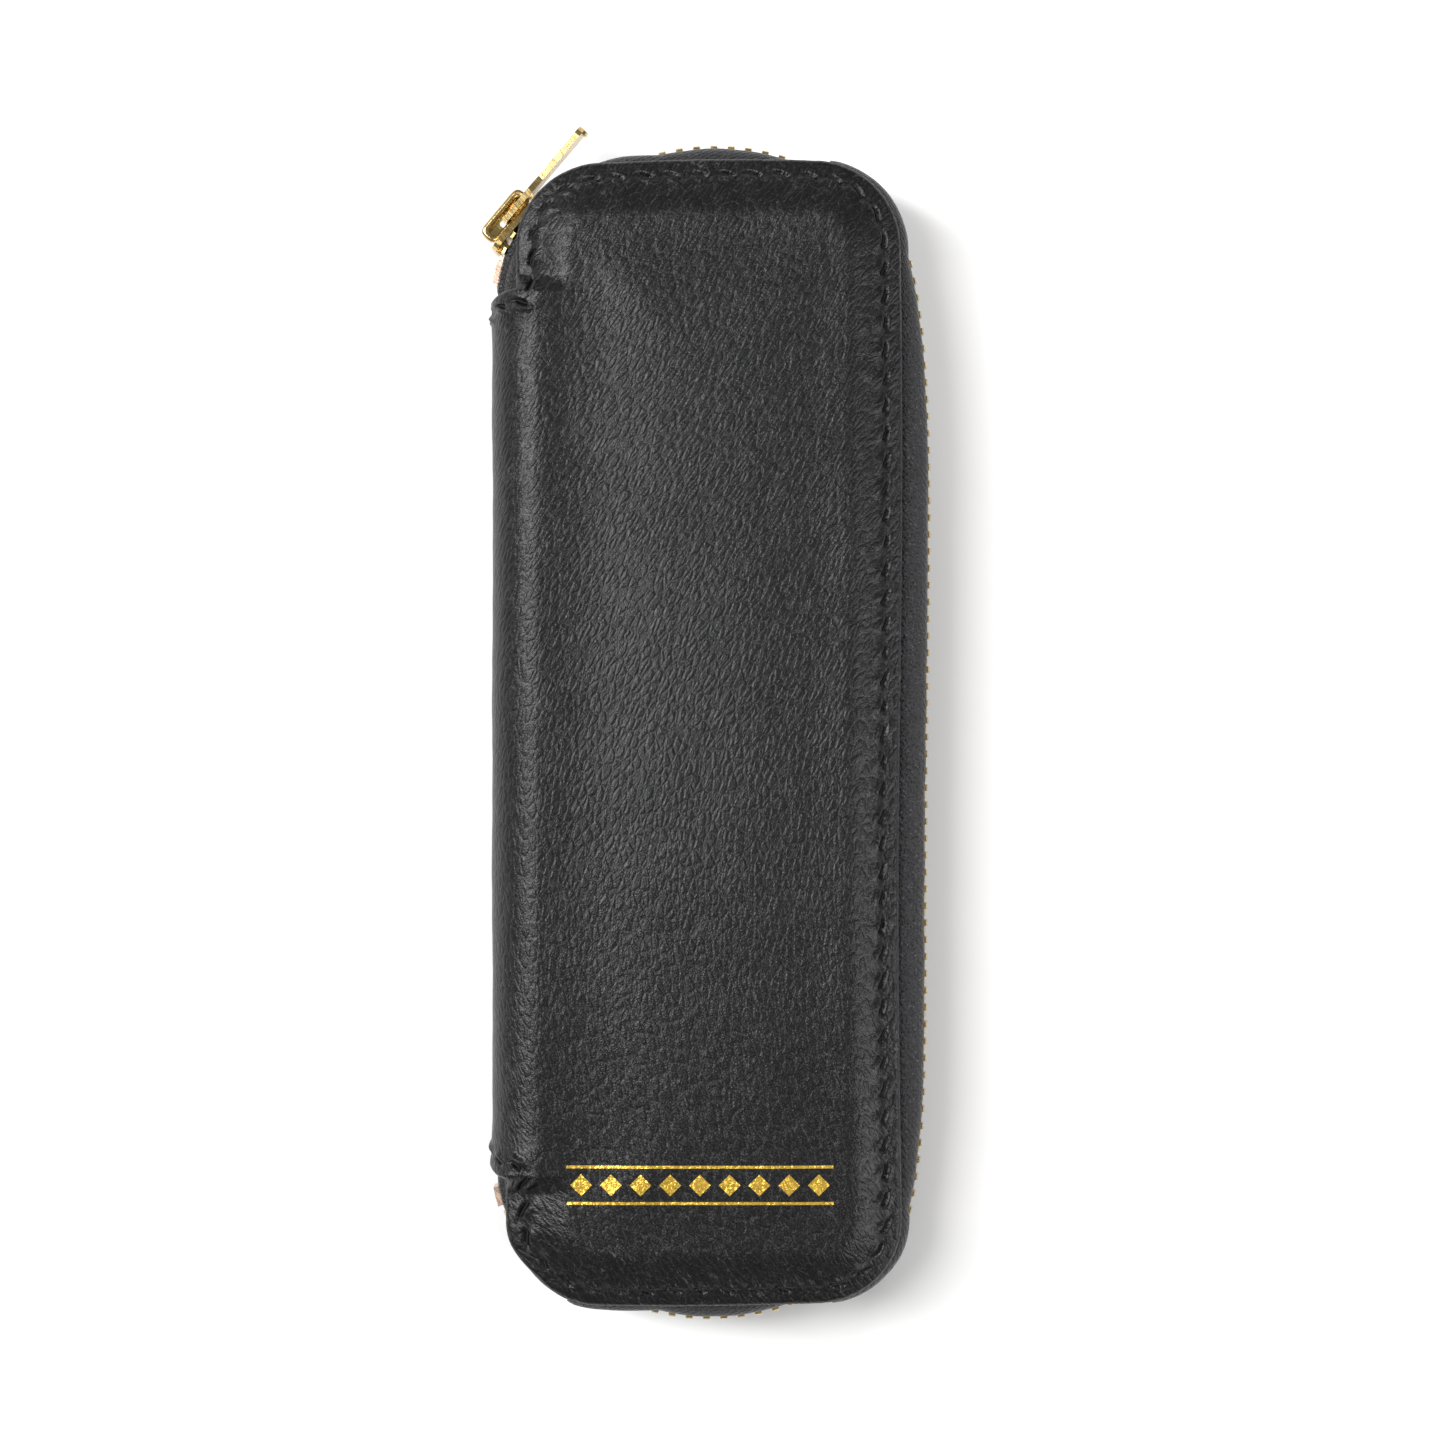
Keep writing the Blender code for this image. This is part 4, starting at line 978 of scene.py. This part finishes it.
def slider_crown(material):
    """The box over the slider's plate that holds the pull's crossbar, with a slot in each recessed side."""
    x, top, foot, wall = CROWN_X, CROWN_TOP, CROWN_FOOT, CROWN_WALL
    outer = rounded_box(-x, x, foot, top, CROWN_CORNER)
    inner = rounded_box(-x + wall, x - wall, foot + wall * 0.6, top - wall, CROWN_CORNER * 0.6)
    middle_x, middle_y, half_x, half_y = CROWN_SLOT
    span = (middle_x - half_x, middle_x + half_x, middle_y - half_y, middle_y + half_y)
    slot = rounded_box(*span, half_y * 0.9)
    soft = CROWN_SOFT
    near = rounded_box(-x + soft, x - soft, foot + soft, top - soft, CROWN_CORNER - soft * 0.7)
    low, high = foot + wall * 0.6 + 0.1, top - wall - 0.1
    dish = rounded_box(-x + wall + 0.1, x - wall - 0.1, low, high, CROWN_CORNER * 0.5)
    half, (thin, panel) = CROWN_HALF, CROWN_PANEL
    rings = [(slot, thin), (slot, panel - 0.1), (dish, panel), (inner, panel + 0.12)]
    between = inner * 0.4 + near * 0.6
    rings += [(inner, half - 0.15), (between, half), (near, half - 0.02), (outer, half - soft)]
    rings += [(line, -z) for line, z in rings[::-1]]
    stack = [np.column_stack([line, np.full(len(line), z)]) for line, z in rings]
    points = slider_place(np.vstack(stack))
    ids = np.arange(len(points)).reshape(len(stack), -1)
    ids = np.vstack([ids, ids[:1]])
    faces = grid_faces(np.column_stack([ids, ids[:, 0]]))
    crown = outward(object_of("slider_crown", points, faces, material, 50))
    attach(crown, "slider")
    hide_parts("slider_bail")


# ---------------------------------------------------------------- carried-over metal


def bevelled(node, material, width=0.12):
    """A CAD piece with rounded edges and a better material."""
    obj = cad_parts[node]
    modifier = obj.modifiers.new("rounded edges", "BEVEL")
    modifier.width = width * MM
    modifier.segments = 2
    modifier.limit_method = "ANGLE"
    modifier.angle_limit = math.radians(35)
    modifier.harden_normals = True
    for slot in obj.material_slots:
        slot.material = material


# ---------------------------------------------------------------- inside

LINING_Z, LINING_HALF = 20.65, 0.2
LINING_X, LINING_ROLL, LINING_INSET = -30.3, 5.0, 2.7
LINING_END = 63.0  # half its length inside the spine
LINING_FLARE = (6.5, 10.5)  # distances from the spine's middle between which it lengthens
FLOOR = THICKNESS - LINING_Z + LINING_HALF  # the back cover's lining, where the pen loops are sewn
PENS, PEN_RADIUS, PEN_LEG, PEN_PITCH, PEN_MIDDLE = 3, 6.5, 2.5, 15.6, -1.5
BAND, BAND_HALF, BAND_FOOT, BAND_TURN = 0.4, 10.0, 2.2, 1.1
BANDS = {"upper": 38.0, "lower": -34.0}
POCKET_X, POCKET_Y, POCKET_CORNER = (-23.0, 21.0), (-76.0, -6.0), 5.0
POCKET_SEAM, POCKET_HEM = 1.5, 5.0
POCKET_TOP = 6.5  # height of the top edge's band of close rows
FOAM_BOX = (-23.5, 21.5, -77.5, 77.5)
WAVE_SCALE = 0.314  # a wave texture's scale times the distance between its crests


def cloth_material(name, dark, light, pitch, depth, turn=45.0):
    """Woven cloth: two crossing sets of yarn, with soft colour change and a little fuzz."""
    g = Graph(name, Specular_IOR_Level=0.25, Sheen_Weight=0.15)
    flat = g.attribute("grain")
    turned = g.mapped(flat, turn)
    yarn = {"Scale": WAVE_SCALE / pitch, "Distortion": 0.5, "Detail": 2.0}
    warp = g.node("TexWave", {"Vector": turned, **yarn})
    weft = g.node("TexWave", {"Vector": g.mapped(turned, 90), **yarn})
    weave = g.math("MULTIPLY", warp, weft)
    fuzz = g.noise(flat, 5.0, 4.0)
    cloud = g.noise(flat, 0.12, 3.0)
    colour = g.mix(g.ramp(weave, 0.05, 0.7), dark, light)
    colour = g.mix(g.ramp(cloud, 0.3, 0.7, 0.0, 0.35), colour, dark)
    normal = g.bump(fuzz, depth * 0.5, g.bump(weave, depth))
    return g.finish(Base_Color=colour, Roughness=g.ramp(fuzz, 0.3, 0.7, 0.7, 0.92), Normal=normal)


def foam_material():
    """Open-cell foam."""
    g = Graph("foam", Specular_IOR_Level=0.2)
    place = g.place()
    pores = g.cells(place, 2.2)
    fine = g.noise(place, 3.0, 3.0)
    colour = g.mix(g.ramp(pores, 0.1, 0.5), (0.1, 0.1, 0.105), (0.26, 0.26, 0.27))
    normal = g.bump(fine, 0.05, g.bump(g.ramp(pores, 0.05, 0.5), 0.16))
    return g.finish(Base_Color=colour, Roughness=g.ramp(fine, 0.3, 0.7, 0.85, 0.97), Normal=normal)


def greyboard_material():
    """Grey pressed board with flecks of fibre."""
    g = Graph("greyboard", Specular_IOR_Level=0.2)
    place = g.place()
    fibre = g.noise(g.mapped(place, 15, (0.5, 2.5, 1.5)), 1.5, 4.0)
    fleck = g.ramp(g.cells(place, 0.9), 0.04, 0.12, 1.0, 0.0)
    colour = g.mix(g.ramp(fibre, 0.3, 0.7), (0.24, 0.225, 0.2), (0.36, 0.345, 0.31))
    colour = g.mix(fleck, colour, (0.12, 0.11, 0.1))
    rough = g.ramp(fibre, 0.3, 0.7, 0.8, 0.95)
    return g.finish(Base_Color=colour, Roughness=rough, Normal=g.bump(fibre, 0.03))


def lining_half_length(x, run):
    """Half the lining's length at this place across it."""
    radius = LOBE_RADIUS - LINING_INSET
    lobe = LOBE[1] + math.sqrt(max(radius**2 - min(x - LOBE[0], 0) ** 2, 0))
    free_radius = FREE_RADIUS - LINING_INSET
    free = FREE[1] + math.sqrt(max(free_radius**2 - max(x - FREE[0], 0) ** 2, 0))
    share = float(smoothstep((run - LINING_FLARE[0]) / (LINING_FLARE[1] - LINING_FLARE[0])))
    return LINING_END + (min(lobe, free) - LINING_END) * share


def linings(material):
    """One cloth per cover, from the zip's seam round to the middle of the spine."""
    rise = LINING_Z - LINING_ROLL - MID_Z
    section = np.array([(LINING_X, MID_Z + z) for z in np.linspace(0, rise, 5)])
    turn = arc((LINING_X + LINING_ROLL, LINING_Z - LINING_ROLL), LINING_ROLL, 180, 90, 16)
    reach = EDGE_X - LINING_INSET
    level = [(x, LINING_Z) for x in np.linspace(LINING_X + LINING_ROLL, FREE[0], 44)[1:]]
    turns = np.linspace(0, math.pi / 2, 12)[1:]
    corner = [(FREE[0] + (reach - FREE[0]) * math.sin(t), LINING_Z) for t in turns]
    section = np.vstack([section, turn[1:], level, corner])
    runs = distances_along(section)
    rows = np.sin(np.linspace(-1, 1, 121) * math.pi / 2 * 0.8) / math.sin(math.pi / 2 * 0.8)
    sheet = np.zeros((len(section), len(rows), 3))
    for column, ((x, z), run) in enumerate(zip(section, runs)):
        sheet[column, :, 0] = x
        sheet[column, :, 1] = rows * lining_half_length(x, run)
        sheet[column, :, 2] = z
    centre = sheet.reshape(-1, 3)
    flat = np.column_stack([np.repeat(runs, len(rows)), centre[:, 1], centre[:, 2] * 0])
    faces, normals = facing_up(centre, grid_faces(np.arange(len(centre)).reshape(len(section), -1)))
    crinkle = 0.05 * noise_at(flat, 9.0, 1.3) + 0.03 * noise_at(flat, 2.5, 6.1)
    centre = centre + normals * crinkle[:, None]
    points, closed = thickened(centre + normals * LINING_HALF, centre - normals * LINING_HALF, faces)
    attributes = {"grain": np.tile(flat, (2, 1))}
    for side, lining in both_halves("lining", points, closed, material, 70, attributes):
        across_fold(lining, side)
        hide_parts(f"lining_{side}", "lining_spine")


FOAM_RINGS = (
    (9.0, 22.48), (0.7, 22.48), (0.15, 22.6), (0.0, 22.8), (0.2, 23.0), (0.9, 23.2), (2.2, 23.5),
    (4.0, 23.82), (6.5, 24.1), (9.5, 24.28), (13.0, 24.38), (17.0, 24.42), (21.0, 24.42),
)  # inwards from the edge, and height


def foam_pads(material):
    """The crowned sheet of foam that pads each cover."""
    low_x, high_x, low_y, high_y = FOAM_BOX
    stack = []
    for inset, height in FOAM_RINGS:
        corner = max(7.0 - inset, 0.6)
        waist = 0.5 * np.sin(np.linspace(0, 2 * math.pi, 100)) ** 2
        loop = rounded_box(low_x + inset, high_x - inset, low_y + inset, high_y - inset, corner, 24)
        loop = loop * (1 - 0.004 * waist[:, None])
        stack.append(np.column_stack([loop, np.full(len(loop), height)]))
    points = np.vstack(stack)
    points[:, 2] += 0.03 * noise_at(points, 5.0, 4.4)
    faces = loft_faces(0, len(stack), len(stack[0]))
    for side, shape in (("front", points), ("back", flipped(points))):
        foam = outward(object_of(f"foam_pad_{side}", shape, faces, material, 50))
        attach(foam, f"{side}_cover")
        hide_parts(f"padding_{side}")


STITCH_ROWS, STITCH_SIDES = 7, 6


def stitches(name, ends, normal, material, body, radius=0.16):
    """Short bowed threads between pairs of points, which dip in at both ends."""
    points, faces, grain, count = [], [], [], 0
    share = np.linspace(0, 1, STITCH_ROWS)
    angles = np.arange(STITCH_SIDES) * 2 * math.pi / STITCH_SIDES
    normal = np.array(normal, float)
    for start, end in ends:
        start, end = np.array(start, float), np.array(end, float)
        way = unit(end - start)
        side = np.cross(way, normal)
        lift = radius * 0.6 - 0.35 * np.abs(2 * share - 1) ** 4
        centres = start + (end - start) * share[:, None] + normal * lift[:, None]
        ring = radius * (np.outer(np.cos(angles), side) + np.outer(np.sin(angles), normal))
        rings = centres[:, None] + ring
        faces += loft_faces(count, STITCH_ROWS, STITCH_SIDES)
        points.append(rings.reshape(-1, 3))
        run = np.repeat(share * np.linalg.norm(end - start), STITCH_SIDES)
        grain.append(np.column_stack([count + run, np.tile(angles * radius, STITCH_ROWS), run * 0]))
        count += STITCH_ROWS * STITCH_SIDES
    thread = outward(object_of(name, np.vstack(points), faces, material, 80, {"grain": np.vstack(grain)}))
    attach(thread, body)
    return thread


def band_line():
    """The elastic's middle line across the case: flat, then up over each pen and down again."""
    z = FLOOR + BAND + 0.05
    first = PEN_MIDDLE - PEN_PITCH
    line = [np.array([[first - PEN_RADIUS - 2 * BAND - BAND_FOOT, z]])]
    turn_z, top_z = z + BAND_TURN, FLOOR + PEN_LEG
    for number in range(PENS):
        middle = first + number * PEN_PITCH
        line.append(arc((middle - PEN_RADIUS - BAND_TURN, turn_z), BAND_TURN, -90, 0, 6))
        line.append(arc((middle, top_z), PEN_RADIUS, 180, 0, 24))
        line.append(arc((middle + PEN_RADIUS + BAND_TURN, turn_z), BAND_TURN, 180, 270, 6))
    line.append(np.array([[first + (PENS - 1) * PEN_PITCH + PEN_RADIUS + 2 * BAND + BAND_FOOT, z]]))
    return np.vstack(line)


def pen_loops(material, thread):
    """Two ribbed elastic bands, tacked to the back cover's lining beside each pen."""
    line, marks, ways = resampled(band_line(), 0.4)
    normal = np.column_stack([-ways[:, 1], ways[:, 0]])
    height = (line[:, 1] - FLOOR) / (PEN_LEG + PEN_RADIUS)
    half = BAND_HALF - 0.35 * smoothstep(height)
    across = np.linspace(-1, 1, 61)
    rib = 0.05 * np.cos(across * BAND_HALF * 2 * math.pi / 1.1) * (1 - across**12)
    thick = BAND * np.sqrt(np.clip(1 - np.abs(across) ** 14, 0.25, 1)) + rib
    ring_across = np.concatenate([across, across[::-1]])
    ring_thick = np.concatenate([thick, -thick[::-1]])
    for name, y in BANDS.items():
        rings = np.zeros((len(line), len(ring_across), 3))
        for i, (place, out) in enumerate(zip(line, normal)):
            pull = 1 + 0.03 * math.sin(marks[i] * 2 * math.pi / 0.8)
            rings[i, :, 0] = place[0] + out[0] * ring_thick * pull
            rings[i, :, 2] = place[1] + out[1] * ring_thick * pull
            rings[i, :, 1] = y + ring_across * half[i]
        run = np.repeat(marks, len(ring_across))
        grain = np.column_stack([run, rings[:, :, 1].ravel(), run * 0])
        faces = loft_faces(0, *rings.shape[:2])
        band = object_of(f"pen_band_{name}", rings.reshape(-1, 3), faces, material, 60, {"grain": grain})
        outward(band)
        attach(band, "back_cover")
        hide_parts(f"pen_loops_{name}")
        low, high = PEN_MIDDLE - PENS / 2 * PEN_PITCH, PEN_MIDDLE + PENS / 2 * PEN_PITCH
        ends = []
        for x in (low - 0.6, low + PEN_PITCH, high - PEN_PITCH, high + 0.6):
            top = FLOOR + 2 * BAND + 0.08
            for step in np.arange(-9.0, 8.6, 1.8):
                ends.append(((x - 0.15, y + step, top), (x + 0.15, y + step + 1.3, top)))
        stitches(f"pen_band_tacks_{name}", ends, (0, 0, 1), thread, "back_cover")


def pocket_shape():
    """Grid of plan points, and how far the pocket's face stands in from the lining at each."""
    low_x, high_x = POCKET_X
    low_y, high_y = POCKET_Y
    rows = np.concatenate([low_y + POCKET_CORNER * (1 - np.cos(np.linspace(0, math.pi / 2, 12)))[:-1],
                           np.linspace(low_y + POCKET_CORNER, high_y - POCKET_TOP, 90)[:-1],
                           np.linspace(high_y - POCKET_TOP, high_y, 30)])
    drop = np.clip(low_y + POCKET_CORNER - rows, 0, POCKET_CORNER)
    shrink = POCKET_CORNER - np.sqrt(POCKET_CORNER**2 - drop**2)
    u = np.linspace(-1, 1, 91)
    u = np.sign(u) * (1 - (1 - np.abs(u)) ** 1.4)
    half = (high_x - low_x) / 2 - shrink
    x = (low_x + high_x) / 2 + half[:, None] * u
    y = np.repeat(rows[:, None], len(u), axis=1)
    side = np.minimum(half[:, None] * (1 - np.abs(u)), y - low_y)
    slack = smoothstep((side - POCKET_SEAM - 0.4) / 7)
    seam = np.exp(-((side - POCKET_SEAM) / 0.45) ** 2)
    hem = np.exp(-((high_y - POCKET_HEM - y) / 0.4) ** 2)
    fold = smoothstep((y - high_y + POCKET_HEM) / 0.6)
    edge = np.clip(np.minimum(side, high_y - y) / 0.35, 0, 1)
    depth = 0.34 + 0.3 * slack + 0.14 * fold - 0.14 * seam - 0.12 * hem
    depth = depth * (0.55 + 0.45 * np.sqrt(edge))
    return x, y, depth


def slip_pocket(material, thread):
    x, y, depth = pocket_shape()
    flat = np.column_stack([x.ravel(), y.ravel(), x.ravel() * 0])
    depth = depth.ravel() + 0.05 * noise_at(flat, 7.0, 9.1) * smoothstep((depth.ravel() - 0.3) / 0.2)
    floor = LINING_Z - LINING_HALF - 0.15
    lower = np.column_stack([flat[:, :2], floor - depth])
    upper = np.column_stack([flat[:, :2], np.full(len(flat), floor)])
    points, closed = thickened(upper, lower, grid_faces(np.arange(len(flat)).reshape(x.shape)))
    pocket = object_of("pocket_panel", points, closed, material, 60, {"grain": np.tile(flat, (2, 1))})
    outward(pocket)
    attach(pocket, "front_cover")
    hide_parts("slip_pocket")
    left, right = POCKET_X[0] + POCKET_SEAM, POCKET_X[1] - POCKET_SEAM
    low, high = POCKET_Y[0] + POCKET_SEAM, POCKET_Y[1]
    corner = POCKET_CORNER - POCKET_SEAM
    course = [np.array([[right, high - 1.0]]), arc((right - corner, low + corner), corner, 0, -90, 8)]
    course += [arc((left + corner, low + corner), corner, -90, -180, 8), np.array([[left, high - 1.0]])]
    hem = np.array([[left, high - POCKET_HEM], [right, high - POCKET_HEM]])
    ends = []
    for path, depth in ((np.vstack(course), 0.24), (hem, 0.5)):
        places, marks, ways = resampled(path, 3.0)
        for place, way in zip(places[1:-1], ways[1:-1]):
            start, end = place - way * 1.05, place + way * 1.05
            ends.append(((*start, floor - depth), (*end, floor - depth)))
    seam = stitches("pocket_stitches", ends, (0, 0, -1), thread, "front_cover")
    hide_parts("pocket_stitching")


# ---------------------------------------------------------------- stage


def area_light(name, place, size, power, gloss):
    data = bpy.data.lights.new(name, "AREA")
    data.shape = "RECTANGLE"
    data.size, data.size_y = size
    data.energy = power
    light = bpy.data.objects.new(name, data)
    light.location = place
    light.visible_glossy = gloss
    light.rotation_euler = (-Vector(place)).to_track_quat("-Z", "Y").to_euler()
    bpy.context.scene.collection.objects.link(light)


FLOOR_HALF, FLOOR_DROP = 3.0, -1e-4  # metres
LAMPS = (
    ("key", (-0.9, 0.3, 1.45), (0.4, 1.3), 32.0, True),
    ("right fill", (1.5, -0.5, 1.1), (0.9, 0.9), 16.0, True),
    ("far fill", (0.2, 1.6, 1.0), (1.0, 0.7), 14.0, False),
)  # place and size in metres, power in watts, and whether it shows in reflections


def studio():
    g = Graph("pale floor", Specular_IOR_Level=0.2, Roughness=0.85)
    cloud = g.noise(g.place(), 0.004, 2.0)
    floor_material = g.finish(Base_Color=g.mix(cloud, (0.93, 0.93, 0.93), (0.95, 0.95, 0.95)))
    mesh = bpy.data.meshes.new("floor")
    corners = [(x * FLOOR_HALF, y * FLOOR_HALF, FLOOR_DROP) for x, y in ((-1, -1), (1, -1), (1, 1), (-1, 1))]
    mesh.from_pydata(corners, [], [(0, 1, 2, 3)])
    mesh.materials.append(floor_material)
    floor = bpy.data.objects.new("floor", mesh)
    bpy.context.scene.collection.objects.link(floor)
    floor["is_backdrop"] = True
    world = bpy.data.worlds.new("studio")
    world.use_nodes = True
    world.node_tree.nodes["Background"].inputs[0].default_value = (1, 1, 1, 1)
    world.node_tree.nodes["Background"].inputs[1].default_value = 0.26
    bpy.context.scene.world = world
    for lamp in LAMPS:
        area_light(*lamp)


def camera():
    data = bpy.data.cameras.new("camera")
    data.lens, data.sensor_width = 100.0, 36.0
    data.clip_start, data.clip_end = 0.05, 10.0
    obj = bpy.data.objects.new("camera", data)
    obj.location = (1.7 * MM, 1.65 * MM, 0.620)
    bpy.context.scene.collection.objects.link(obj)
    bpy.context.scene.camera = obj


# ---------------------------------------------------------------- assembly

leather = leather_material()
thread = thread_material()
tape = tape_material()
brass = metal_material("brass", (0.72, 0.54, 0.24), (0.52, 0.37, 0.14), 0.2)
copper = metal_material("copper", (0.78, 0.58, 0.46), (0.6, 0.42, 0.32), 0.26)

skins, surface = leather_skins(leather)
for skin, side in zip(skins, ("front", "back")):
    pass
seam_threads(Atlas(*surface), thread)
zip_tapes(tape)
zip_teeth(brass)
slider_crown(brass)
lining_cloth = cloth_material("lining", (0.018, 0.018, 0.022), (0.075, 0.075, 0.085), 0.45, 0.05)
elastic = cloth_material("elastic", (0.006, 0.006, 0.007), (0.035, 0.035, 0.038), 0.55, 0.07, 0.0)
linings(lining_cloth)
foam_pads(foam_material())
pen_loops(elastic, thread)
slip_pocket(lining_cloth, thread)
greyboard = greyboard_material()
for node in ("board_front", "board_back", "spine_board"):
    bevelled(node, greyboard, 0.1)
for node in ("slider_body", "pull_tab"):
    bevelled(node, brass)
for node in ("top_stop_front", "top_stop_back", "bottom_stop"):
    bevelled(node, copper, 0.25)

studio()
camera()
bpy.context.scene.view_settings.view_transform = "Standard"
box = [[list(map(float, corner)) for corner in pair] for pair in (CAD_BOX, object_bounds())]
